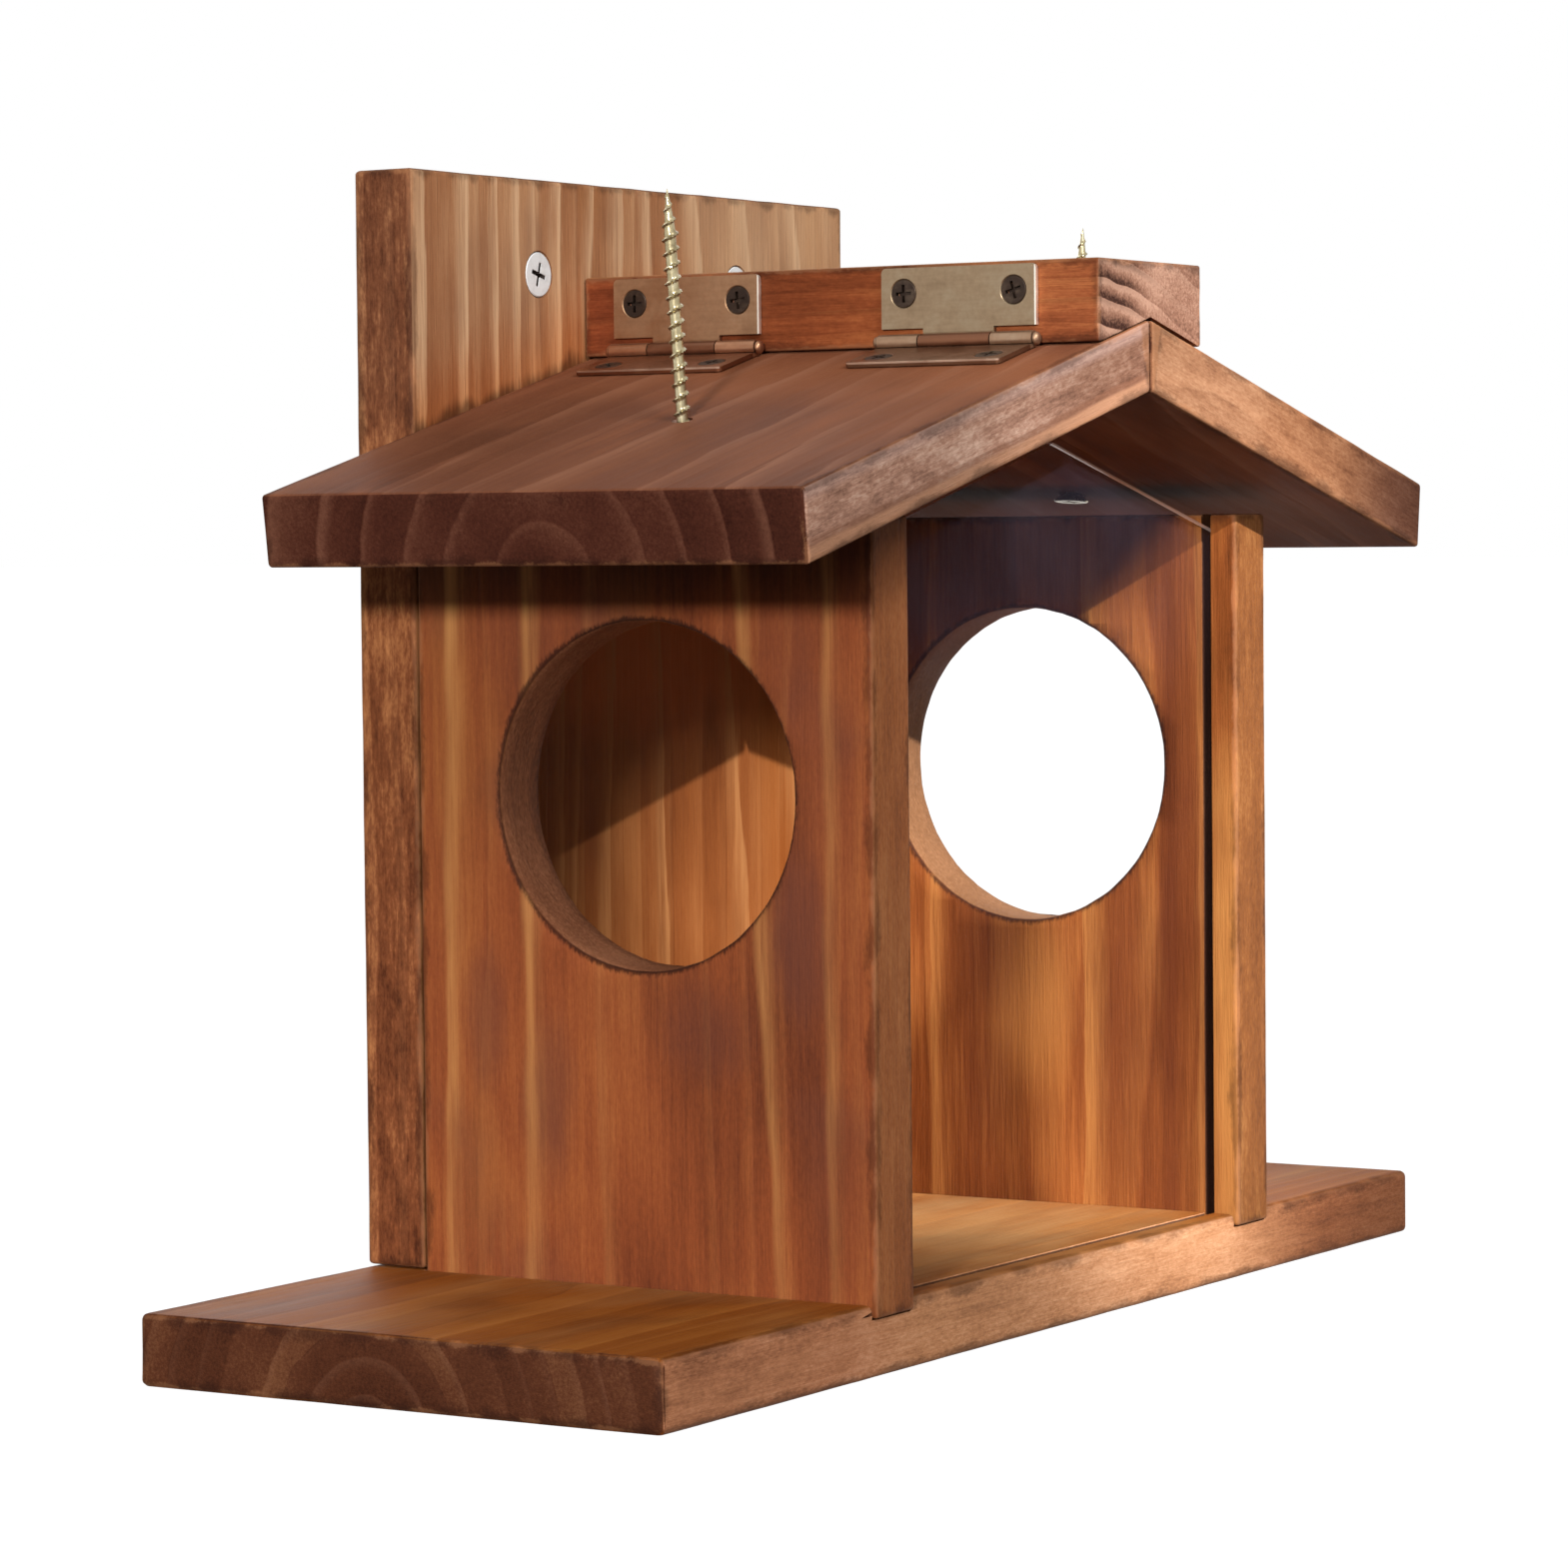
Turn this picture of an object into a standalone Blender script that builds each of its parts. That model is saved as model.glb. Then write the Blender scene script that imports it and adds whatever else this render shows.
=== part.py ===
# Squirrel house: a wooden feeding box for squirrels, with a round entrance in each side wall,
# a clear front window, landing boards left and right, a gable roof whose left half is a
# hinged lid, and two long screws on the roof that each hold a corn cob.
# Metres, +Z up, +X to the right as seen from the front, and the front looks towards -Y.
# The origin is on the ground, under the middle of the outer box.
import math

import bmesh
import bpy
from mathutils import Matrix, Vector

mm = 0.001

# Base board
base_length = 336 * mm
base_depth = 127 * mm
base_thickness = 15 * mm
base_edge = 1.6 * mm

# Side walls, with their round entrances
house_width = 178 * mm
wall_thickness = 15 * mm
wall_height = 161 * mm
wall_nose = 1.2 * mm
wall_housing = 3 * mm
wall_edge = 0.9 * mm
entrance_diameter = 73 * mm
entrance_height = 103 * mm
entrance_offset = 1.1 * mm

# Back board
back_thickness = 15 * mm
back_height = 236 * mm
back_edge = 0.9 * mm

# Clear front window, held in a groove of each wall and of the base
window_thickness = 1.8 * mm
window_setback = 6.3 * mm
window_groove = 7 * mm
window_foot = 1.5 * mm

# Roof
roof_pitch = math.radians(14.2)
lid_half_span = 143.7 * mm
panel_half_span = 137.3 * mm
roof_thickness = 15 * mm
roof_front_overhang = 18.7 * mm
roof_lift = 3.5 * mm
roof_edge = 0.9 * mm
eave_undercut = 1.8 * mm
ridge_gap = 0.8 * mm

# Ridge beam
beam_width = 47 * mm
beam_side_height = 17.8 * mm
beam_edge = 0.6 * mm

# Lid hinges
hinge_length = 38 * mm
hinge_middle_knuckle = 17.4 * mm
hinge_leaf_reach = 16 * mm
hinge_leaf_thickness = 1.0 * mm
hinge_barrel_radius = 1.75 * mm
hinge_pin_radius = 0.8 * mm
hinge_pin_head_radius = 1.45 * mm
hinge_pin_head_height = 1.1 * mm
hinge_corner = 0.8 * mm
hinge_screw_spacing = 27 * mm
hinge_screw_reach = 10.5 * mm
rear_hinge_setback = 28 * mm
front_hinge_setback = 33.5 * mm

# Screws: each kind by its own sizes
hinge_screw = {
    "head_radius": 3.15 * mm,
    "head_height": 1.9 * mm,
    "shank_radius": 1.3 * mm,
    "length": 12 * mm,
    "tip": 3 * mm,
    "recess_radius": 1.9 * mm,
    "recess_width": 0.8 * mm,
    "recess_depth": 1.1 * mm,
}
mount_screw = {
    "head_radius": 5 * mm,
    "head_height": 3 * mm,
    "shank_radius": 2.1 * mm,
    "length": 12.5 * mm,
    "tip": 3 * mm,
    "recess_radius": 2.7 * mm,
    "recess_width": 1.1 * mm,
    "recess_depth": 1.7 * mm,
}
board_screw = {
    "head_radius": 3.4 * mm,
    "head_height": 2.2 * mm,
    "shank_radius": 1.6 * mm,
    "length": 35 * mm,
    "tip": 5 * mm,
    "recess_radius": 2.0 * mm,
    "recess_width": 0.9 * mm,
    "recess_depth": 1.3 * mm,
}
cob_screw = {
    "head_radius": 4.1 * mm,
    "head_height": 2.8 * mm,
    "shank_radius": 1.3 * mm,
    "length": 63 * mm,
    "tip": 8 * mm,
    "recess_radius": 2.2 * mm,
    "recess_width": 1.0 * mm,
    "recess_depth": 1.5 * mm,
}
cob_thread_radius = 1.85 * mm
cob_thread_pitch = 3 * mm
cob_screw_reach = 85 * mm
cob_screw_lean = math.radians(6)
cob_head_proud = 0.9 * mm
mount_screw_spacing = 82 * mm
mount_screw_drop = 21 * mm
board_screw_inset = 24 * mm
board_screw_sink = 0.6 * mm
beam_screw_spacing = 16 * mm
panel_screw_inset = 40 * mm
foot_screw_spacing = 90 * mm
head_rim = 0.25 * mm

# Fits
gap = 0.3 * mm
running_gap = 0.5 * mm
pin_gap = 0.25 * mm
overrun = 4 * mm

# Mesh fineness
entrance_sides = 64
round_sides = 16
screw_sides = 12
edge_segments = 2
thread_sides = 12

# Places, worked out from the sizes above
overall_depth = base_depth + roof_front_overhang
rear_y = overall_depth / 2
roof_front_y = -overall_depth / 2
base_front_y = rear_y - base_depth
back_front_y = rear_y - back_thickness
wall_front_y = base_front_y - wall_nose
wall_outer_x = house_width / 2
wall_inner_x = wall_outer_x - wall_thickness
wall_bottom_z = base_thickness - wall_housing
wall_top_z = base_thickness + wall_height
back_top_z = base_thickness + back_height
entrance_y = (wall_front_y + back_front_y) / 2 - entrance_offset
entrance_z = base_thickness + entrance_height
window_slot = window_thickness + 2 * gap
window_slot_y = wall_front_y + window_setback
window_y = window_slot_y + window_slot / 2
window_half_width = wall_inner_x + window_groove - gap
slope = math.tan(roof_pitch)
roof_rise = roof_thickness / math.cos(roof_pitch)
ridge_bottom_z = wall_top_z + roof_lift + slope * wall_outer_x
ridge_top_z = ridge_bottom_z + roof_rise
roof_rear_y = back_front_y - running_gap
roof_middle_y = (roof_rear_y + roof_front_y) / 2


def roof_top_z(x):
    return ridge_top_z - slope * abs(x)


def roof_bottom_z(x):
    return ridge_bottom_z - slope * abs(x)


beam_side_x = beam_width / 2
beam_bottom_z = roof_top_z(beam_side_x) + running_gap / math.cos(roof_pitch)
beam_top_z = beam_bottom_z + beam_side_height
barrel_reach = hinge_barrel_radius + gap
axis_x = -(beam_side_x + barrel_reach)
axis_z = roof_top_z(axis_x) + barrel_reach / math.cos(roof_pitch)
lid_axis = Vector((axis_x, roof_middle_y, axis_z))
rear_hinge_y = back_front_y - rear_hinge_setback
front_hinge_y = roof_front_y + front_hinge_setback
slope_down = Vector((-math.cos(roof_pitch), 0, -math.sin(roof_pitch)))
slope_out = Vector((-math.sin(roof_pitch), 0, math.cos(roof_pitch)))
world_up = Vector((0, 0, 1))
to_left = Vector((-1, 0, 0))
to_rear = Vector((0, 1, 0))
to_front = Vector((0, -1, 0))
downwards = Vector((0, 0, -1))

# The inner edge of the lid swings down past the window, so the window's top stays under it.
lid_inner_x = -ridge_gap / 2
lid_sweep = math.hypot(lid_inner_x - axis_x, roof_bottom_z(lid_inner_x) - axis_z)
window_top_at_axis = axis_z - lid_sweep - running_gap
window_peak_z = window_top_at_axis + slope * abs(axis_x)


def clear_scene():
    for item in list(bpy.data.objects):
        bpy.data.objects.remove(item, do_unlink=True)


def make_material(name, colour, roughness, metallic=0.0, alpha=1.0):
    material = bpy.data.materials.new(name)
    material.use_nodes = True
    shader = material.node_tree.nodes["Principled BSDF"]
    shader.inputs["Base Color"].default_value = (*colour, 1.0)
    shader.inputs["Roughness"].default_value = roughness
    shader.inputs["Metallic"].default_value = metallic
    shader.inputs["Alpha"].default_value = alpha
    material.diffuse_color = (*colour, alpha)
    return material


def add_piece(name, mesh, material, location=(0, 0, 0), rotation=None):
    piece = bpy.data.objects.new(name, mesh)
    bpy.context.scene.collection.objects.link(piece)
    piece.location = location
    if rotation is not None:
        piece.rotation_euler = rotation
    if not mesh.materials:
        mesh.materials.append(material)
    return piece


def mesh_from(shape, name):
    bmesh.ops.recalc_face_normals(shape, faces=shape.faces)
    mesh = bpy.data.meshes.new(name)
    shape.to_mesh(mesh)
    shape.free()
    return mesh


def box_mesh(name, low, high):
    shape = bmesh.new()
    bmesh.ops.create_cube(shape, size=1)
    low = Vector(low)
    high = Vector(high)
    middle = (low + high) / 2
    for vertex in shape.verts:
        vertex.co = middle + vertex.co * (high - low)
    return mesh_from(shape, name)


def prism_mesh(name, outline, start_y, end_y):
    # The outline is a list of (x, z) points, drawn out along Y.
    shape = bmesh.new()
    corners = [shape.verts.new((x, start_y, z)) for x, z in outline]
    face = shape.faces.new(corners)
    grown = bmesh.ops.extrude_face_region(shape, geom=[face])
    moved = [item for item in grown["geom"] if isinstance(item, bmesh.types.BMVert)]
    bmesh.ops.translate(shape, verts=moved, vec=(0, end_y - start_y, 0))
    return mesh_from(shape, name)


def turned_mesh(name, profile, sides):
    # The profile is a list of (radius, z) points; a radius of zero closes an end.
    shape = bmesh.new()
    rings = []
    for radius, z in profile:
        if radius == 0:
            rings.append([shape.verts.new((0, 0, z))])
            continue
        ring = []
        for step in range(sides):
            angle = math.tau * (step + 0.5) / sides
            ring.append(shape.verts.new((radius * math.cos(angle), radius * math.sin(angle), z)))
        rings.append(ring)
    for lower, upper in zip(rings, rings[1:]):
        for step in range(sides):
            following = (step + 1) % sides
            corners = [lower[step % len(lower)], lower[following % len(lower)]]
            corners += [upper[following % len(upper)], upper[step % len(upper)]]
            shape.faces.new(dict.fromkeys(corners))
    return mesh_from(shape, name)


def round_bar_mesh(name, radius, low, high, sides):
    return turned_mesh(name, [(0, low), (radius, low), (radius, high), (0, high)], sides)


def carved(base_mesh, steps, name):
    # Adds or takes away each (operation, mesh) in turn and returns the finished mesh.
    solid = add_piece(name, base_mesh, None)
    helpers = []
    for operation, mesh in steps:
        helper = add_piece(f"{name}_helper", mesh, None)
        helpers.append(helper)
        modifier = solid.modifiers.new(operation.title(), "BOOLEAN")
        modifier.operation = operation
        modifier.object = helper
    bpy.context.view_layer.update()
    depsgraph = bpy.context.evaluated_depsgraph_get()
    result = bpy.data.meshes.new_from_object(solid.evaluated_get(depsgraph))
    for item in [solid, *helpers]:
        bpy.data.objects.remove(item, do_unlink=True)
    result.materials.clear()
    result.name = name
    return result


def soften(piece, width, segments=edge_segments):
    bevel = piece.modifiers.new("Eased edges", "BEVEL")
    bevel.width = width
    bevel.segments = segments
    bevel.limit_method = "ANGLE"


def make_cutter(name, mesh, matrix=None):
    cutter = add_piece(name, mesh, None)
    cutter.hide_render = True
    cutter.display_type = "WIRE"
    if matrix is not None:
        cutter.matrix_world = matrix
    return cutter


def cut(pieces, cutter):
    for piece in pieces:
        modifier = piece.modifiers.new(cutter.name, "BOOLEAN")
        modifier.operation = "DIFFERENCE"
        modifier.object = cutter


def facing(location, outwards):
    # A placing whose own +Z looks along the given direction.
    turn = Vector(outwards).to_track_quat("Z", "Y")
    return Matrix.LocRotScale(Vector(location), turn, None)


def screw_profile(kind, margin=0.0, lead=0.0):
    # Head face at z = 0 and the shank below it; the margin makes it a pocket for the screw.
    head = kind["head_radius"] + margin
    shank = kind["shank_radius"] + margin
    bottom = -kind["length"] - margin
    return [
        (0, lead),
        (head, lead),
        (head, -head_rim),
        (shank, -kind["head_height"] - margin),
        (shank, -kind["length"] + kind["tip"]),
        (0, bottom),
    ]


def cross_mesh(name, kind):
    # The cross recess in a screw head, cut down from just above the face.
    reach = kind["recess_radius"]
    half = kind["recess_width"] / 2
    outline = []
    for quarter in range(4):
        turn = Matrix.Rotation(quarter * math.pi / 2, 2)
        for x, y in [(half, half), (half, reach), (-half, reach)]:
            outline.append(turn @ Vector((x, y)))
    shape = bmesh.new()
    corners = [shape.verts.new((x, y, -kind["recess_depth"])) for x, y in outline]
    face = shape.faces.new(corners)
    grown = bmesh.ops.extrude_face_region(shape, geom=[face])
    moved = [item for item in grown["geom"] if isinstance(item, bmesh.types.BMVert)]
    bmesh.ops.translate(shape, verts=moved, vec=(0, 0, kind["recess_depth"] + kind["head_height"]))
    return mesh_from(shape, name)


def screw_mesh(name, kind):
    body = turned_mesh(f"{name}_body", screw_profile(kind), screw_sides)
    cross = cross_mesh(f"{name}_cross", kind)
    return carved(body, [("DIFFERENCE", cross)], name)


def thread_mesh(name, core_radius, crest_radius, pitch, start_z, end_z, tip):
    # A screw thread as a strip that climbs round the core, each turn four rows high:
    # two rows of root, a flank and the crest. It fades out at both ends.
    rise_shares = [0.0, 0.42, 0.6, 0.78]
    crest_shares = [0.0, 0.0, 1.0, 0.0]
    rows_per_turn = len(rise_shares)
    turns = int((end_z - start_z) / pitch)
    last_row = rows_per_turn * (turns - 1)
    shape = bmesh.new()

    def point(side, row):
        turn, part = divmod(row, rows_per_turn)
        z = start_z + pitch * (turn + side / thread_sides + rise_shares[part])
        body_share = min(1.0, max(0.04, (end_z - z) / tip))
        crest = crest_shares[part] * min(1.0, (z - start_z) / pitch)
        radius = (core_radius + crest * (crest_radius - core_radius)) * body_share
        angle = math.tau * side / thread_sides
        return shape.verts.new((radius * math.cos(angle), radius * math.sin(angle), z))

    grid = [[point(side, row) for row in range(last_row + 1)] for side in range(thread_sides)]
    extra = [point(thread_sides, row) for row in range(last_row - rows_per_turn + 1, last_row + 1)]
    seam = grid[0][rows_per_turn:] + extra
    columns = grid + [seam]
    for left, right in zip(columns, columns[1:]):
        for row in range(last_row):
            shape.faces.new([left[row], right[row], right[row + 1], left[row + 1]])
    start_loop = [column[0] for column in columns] + grid[0][rows_per_turn - 1:0:-1]
    foot = shape.verts.new((0, 0, start_z - pitch / 2))
    end_loop = [column[last_row] for column in grid] + extra[::-1]
    point_z = end_z + pitch * (1 - rise_shares[1])
    apex = shape.verts.new((0, 0, max(point_z, extra[-1].co.z + pitch / rows_per_turn)))
    for loop, centre in [(start_loop, foot), (end_loop, apex)]:
        for here, there in zip(loop, loop[1:] + loop[:1]):
            shape.faces.new([here, there, centre])
    return mesh_from(shape, name)


def cob_screw_mesh(name):
    # Built head down along -Z like the other screws, with the thread up to the head.
    kind = cob_screw
    core = kind["shank_radius"]
    head_profile = [
        (0, 0),
        (kind["head_radius"], 0),
        (kind["head_radius"], -head_rim),
        (core, -kind["head_height"]),
        (core, -kind["head_height"] - cob_thread_pitch),
        (0, -kind["head_height"] - cob_thread_pitch),
    ]
    head = turned_mesh(f"{name}_head", head_profile, round_sides)
    start = kind["head_height"]
    thread = thread_mesh(
        f"{name}_thread", core, cob_thread_radius, cob_thread_pitch,
        start, kind["length"], kind["tip"],
    )
    thread.transform(Matrix.Rotation(math.pi, 4, "X"))
    cross = cross_mesh(f"{name}_cross", kind)
    return carved(head, [("UNION", thread), ("DIFFERENCE", cross)], name)


def leaf_mesh(name, with_middle_knuckle):
    # A hinge leaf: the axis runs along Y through the origin, the plate reaches along +X, its
    # back lies at the bottom, and the barrel stands on the same level as the plate's back.
    half = hinge_length / 2
    knuckle_half = hinge_middle_knuckle / 2
    back = -hinge_barrel_radius
    front = back + hinge_leaf_thickness
    root = hinge_barrel_radius + gap
    tab = hinge_barrel_radius / 2
    if with_middle_knuckle:
        spans = [(-knuckle_half, knuckle_half)]
    else:
        spans = [(-half, -knuckle_half - gap), (knuckle_half + gap, half)]
    plate = box_mesh(f"{name}_plate", (root, -half, back), (hinge_leaf_reach, half, front))
    shape = bmesh.new()
    shape.from_mesh(plate)
    corners = [
        edge for edge in shape.edges
        if all(abs(vertex.co.x - hinge_leaf_reach) < gap for vertex in edge.verts)
        and abs(edge.verts[0].co.y - edge.verts[1].co.y) < gap
    ]
    bmesh.ops.bevel(
        shape, geom=corners, offset=hinge_corner, segments=edge_segments, affect="EDGES",
        profile=0.5,
    )
    plate = mesh_from(shape, f"{name}_plate")
    steps = []
    stand_up = Matrix.Rotation(-math.pi / 2, 4, "X")
    for low, high in spans:
        tongue = box_mesh(f"{name}_tongue", (tab, low, back), (root + gap, high, front))
        barrel = round_bar_mesh(f"{name}_barrel", hinge_barrel_radius, low, high, round_sides)
        barrel.transform(stand_up)
        steps.append(("UNION", tongue))
        steps.append(("UNION", barrel))
    bore = round_bar_mesh(
        f"{name}_bore", hinge_pin_radius + pin_gap, -half - overrun, half + overrun, round_sides
    )
    bore.transform(stand_up)
    steps.append(("DIFFERENCE", bore))
    for side in (-1, 1):
        pocket = turned_mesh(f"{name}_pocket", screw_profile(hinge_screw, gap, overrun), screw_sides)
        spot = Vector((hinge_screw_reach, side * hinge_screw_spacing / 2, front))
        pocket.transform(Matrix.Translation(spot))
        steps.append(("DIFFERENCE", pocket))
    return carved(plate, steps, name)


def pin_mesh(name):
    # The hinge pin, with a small domed head past each end of the barrel.
    half = hinge_length / 2 + gap
    neck = hinge_pin_head_radius
    dome = hinge_pin_head_height
    profile = [
        (0, -half - dome),
        (neck * 0.6, -half - dome * 0.85),
        (neck, -half - dome * 0.4),
        (neck, -half),
        (hinge_pin_radius, -half),
        (hinge_pin_radius, half),
        (neck, half),
        (neck, half + dome * 0.4),
        (neck * 0.6, half + dome * 0.85),
        (0, half + dome),
    ]
    mesh = turned_mesh(name, profile, round_sides)
    mesh.transform(Matrix.Rotation(-math.pi / 2, 4, "X"))
    return mesh


def smooth_round(mesh):
    mesh.shade_smooth()
    mesh.set_sharp_from_angle(angle=math.radians(35))


def make_base(material):
    half = base_length / 2
    low = (-half, -base_depth / 2, 0)
    high = (half, base_depth / 2, base_thickness)
    place = (0, base_front_y + base_depth / 2, 0)
    base = add_piece("base_board", box_mesh("base_board", low, high), material, place)
    soften(base, base_edge)
    for name, side in (("left", -1), ("right", 1)):
        inner = side * (wall_inner_x - gap)
        outer = side * (wall_outer_x + gap)
        housing = box_mesh(
            f"{name}_housing",
            (min(inner, outer), base_front_y - overrun, wall_bottom_z),
            (max(inner, outer), back_front_y + gap, base_thickness + overrun),
        )
        cut([base], make_cutter(f"{name}_housing_cutter", housing))
    groove = box_mesh(
        "foot_groove",
        (-window_half_width, window_slot_y, base_thickness - window_foot),
        (window_half_width, window_slot_y + window_slot, base_thickness + overrun),
    )
    cut([base], make_cutter("foot_groove_cutter", groove))
    return base


def make_back(material):
    low = (-house_width / 2, -back_thickness / 2, 0)
    high = (house_width / 2, back_thickness / 2, back_height - gap)
    place = (0, back_front_y + back_thickness / 2, base_thickness + gap)
    back = add_piece("back_board", box_mesh("back_board", low, high), material, place)
    soften(back, back_edge)
    return back


def make_wall(name, side, material):
    # One wall, with its entrance and the upright groove for the window.
    depth = back_front_y - gap - wall_front_y
    low = (-wall_thickness / 2, 0, 0)
    high = (wall_thickness / 2, depth, wall_top_z - wall_bottom_z - gap)
    middle_x = side * (wall_outer_x - wall_thickness / 2)
    place = (middle_x, wall_front_y, wall_bottom_z + gap)
    wall = add_piece(name, box_mesh(name, low, high), material, place)
    soften(wall, wall_edge)
    entrance = round_bar_mesh(
        f"{name}_entrance", entrance_diameter / 2, -wall_thickness, wall_thickness, entrance_sides
    )
    spot = facing((middle_x, entrance_y, entrance_z), (side, 0, 0))
    cut([wall], make_cutter(f"{name}_entrance_cutter", entrance, spot))
    inner = side * (wall_inner_x - overrun)
    deep = side * (wall_inner_x + window_groove)
    groove = box_mesh(
        f"{name}_groove",
        (min(inner, deep), window_slot_y, wall_bottom_z - overrun),
        (max(inner, deep), window_slot_y + window_slot, wall_top_z + overrun),
    )
    cut([wall], make_cutter(f"{name}_groove_cutter", groove))
    return wall


def make_window(material):
    foot_z = base_thickness - window_foot + gap
    shoulder_z = window_peak_z - slope * window_half_width
    outline = [
        (-window_half_width, 0),
        (window_half_width, 0),
        (window_half_width, shoulder_z - foot_z),
        (0, window_peak_z - foot_z),
        (-window_half_width, shoulder_z - foot_z),
    ]
    half = window_thickness / 2
    mesh = prism_mesh("front_window", outline, -half, half)
    return add_piece("front_window", mesh, material, (0, window_y, foot_z))


def roof_outline(inner_x, half_span):
    # Section of a slope, drawn to the right, from its upright face at the ridge out to the eave.
    eave_bottom_x = half_span - eave_undercut
    return [
        (inner_x, roof_bottom_z(inner_x)),
        (eave_bottom_x, roof_bottom_z(eave_bottom_x)),
        (half_span, roof_top_z(half_span)),
        (inner_x, roof_top_z(inner_x)),
    ]


def make_roof_panel(material):
    outline = [(x, z - ridge_bottom_z) for x, z in roof_outline(ridge_gap / 2, panel_half_span)]
    mesh = prism_mesh("right_roof_panel", outline, roof_front_y, back_front_y - gap)
    panel = add_piece("right_roof_panel", mesh, material, (0, 0, ridge_bottom_z))
    soften(panel, roof_edge)
    return panel


def make_lid(material):
    # The left slope, its origin on the hinge axis.
    section = roof_outline(ridge_gap / 2, lid_half_span)
    outline = [(-x - axis_x, z - axis_z) for x, z in section]
    start = roof_front_y - lid_axis.y
    end = roof_rear_y - lid_axis.y
    lid = add_piece("left_roof_lid", prism_mesh("left_roof_lid", outline, start, end), material)
    lid.location = lid_axis
    soften(lid, roof_edge)
    return lid


def make_beam(material):
    # A block whose underside is notched to sit over the ridge.
    notch_z = beam_bottom_z + slope * beam_side_x
    outline = [
        (-beam_side_x, 0),
        (0, notch_z - beam_bottom_z),
        (beam_side_x, 0),
        (beam_side_x, beam_side_height),
        (-beam_side_x, beam_side_height),
    ]
    mesh = prism_mesh("ridge_beam", outline, roof_front_y, back_front_y - gap)
    beam = add_piece("ridge_beam", mesh, material, (0, 0, beam_bottom_z))
    soften(beam, beam_edge)
    return beam


def add_screw(name, mesh, kind, material, spot, boards, sides=screw_sides, lead=overrun):
    # Places a screw with its head face at the spot and cuts its pocket in the boards.
    screw = add_piece(name, mesh, material)
    screw.matrix_world = spot
    pocket = turned_mesh(f"{name}_pocket", screw_profile(kind, gap, lead), sides)
    cut(boards, make_cutter(f"{name}_pocket_cutter", pocket, spot))
    return screw


def make_hinges(beam, lid, steel, screw_steel):
    fixed_leaf = leaf_mesh("hinge_beam_leaf", True)
    moving_leaf = leaf_mesh("hinge_lid_leaf", False)
    pin = pin_mesh("hinge_pin")
    small_screw = screw_mesh("hinge_screw", hinge_screw)
    for mesh in (fixed_leaf, moving_leaf, pin, small_screw):
        smooth_round(mesh)
    moving = []
    leaf_level = hinge_leaf_thickness - hinge_barrel_radius
    for where, y in (("rear", rear_hinge_y), ("front", front_hinge_y)):
        centre = Vector((axis_x, y, axis_z))
        sides = (("beam", beam, fixed_leaf, world_up, to_left), ("lid", lid, moving_leaf, slope_down, slope_out))
        for part, board, mesh, along, outwards in sides:
            across = outwards.cross(along)
            turn = Matrix((along, across, outwards)).transposed()
            leaf = add_piece(f"{where}_hinge_{part}_leaf", mesh, steel)
            leaf.matrix_world = Matrix.LocRotScale(centre, turn.to_quaternion(), None)
            screws = []
            for count, step in enumerate((-1, 1), start=1):
                head = centre + along * hinge_screw_reach + outwards * leaf_level
                head += Vector((0, step * hinge_screw_spacing / 2, 0))
                name = f"{where}_hinge_{part}_screw_{count}"
                spot = facing(head, outwards)
                screws.append(add_screw(name, small_screw, hinge_screw, screw_steel, spot, [board]))
            if part == "lid":
                moving += [leaf, *screws]
        moving.append(add_piece(f"{where}_hinge_pin", pin, steel, centre))
    return moving


def make_cob_screws(panel, lid, material):
    # Each goes up through its slope from below, leaning a little outwards.
    mesh = cob_screw_mesh("cob_screw")
    smooth_round(mesh)
    pieces = []
    pocket_kind = dict(cob_screw, shank_radius=cob_thread_radius)
    for name, side, board in (("left_cob_screw", -1, lid), ("right_cob_screw", 1, panel)):
        upwards = Vector((side * math.sin(cob_screw_lean), 0, math.cos(cob_screw_lean)))
        through = Vector((side * cob_screw_reach, roof_middle_y, roof_top_z(cob_screw_reach)))
        # Down the screw's own axis from the roof's top face to its bottom face.
        drop = roof_rise / (math.cos(cob_screw_lean) - slope * math.sin(cob_screw_lean))
        head = through - upwards * (drop + cob_head_proud)
        spot = facing(head, -upwards)
        pieces.append(add_screw(name, mesh, pocket_kind, material, spot, [board], round_sides))
    return pieces


def make_mount_screws(back, mesh, material):
    for name, side in (("left_mount_screw", -1), ("right_mount_screw", 1)):
        head = (side * mount_screw_spacing / 2, back_front_y, back_top_z - mount_screw_drop)
        add_screw(name, mesh, mount_screw, material, facing(head, to_front), [back])


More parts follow.
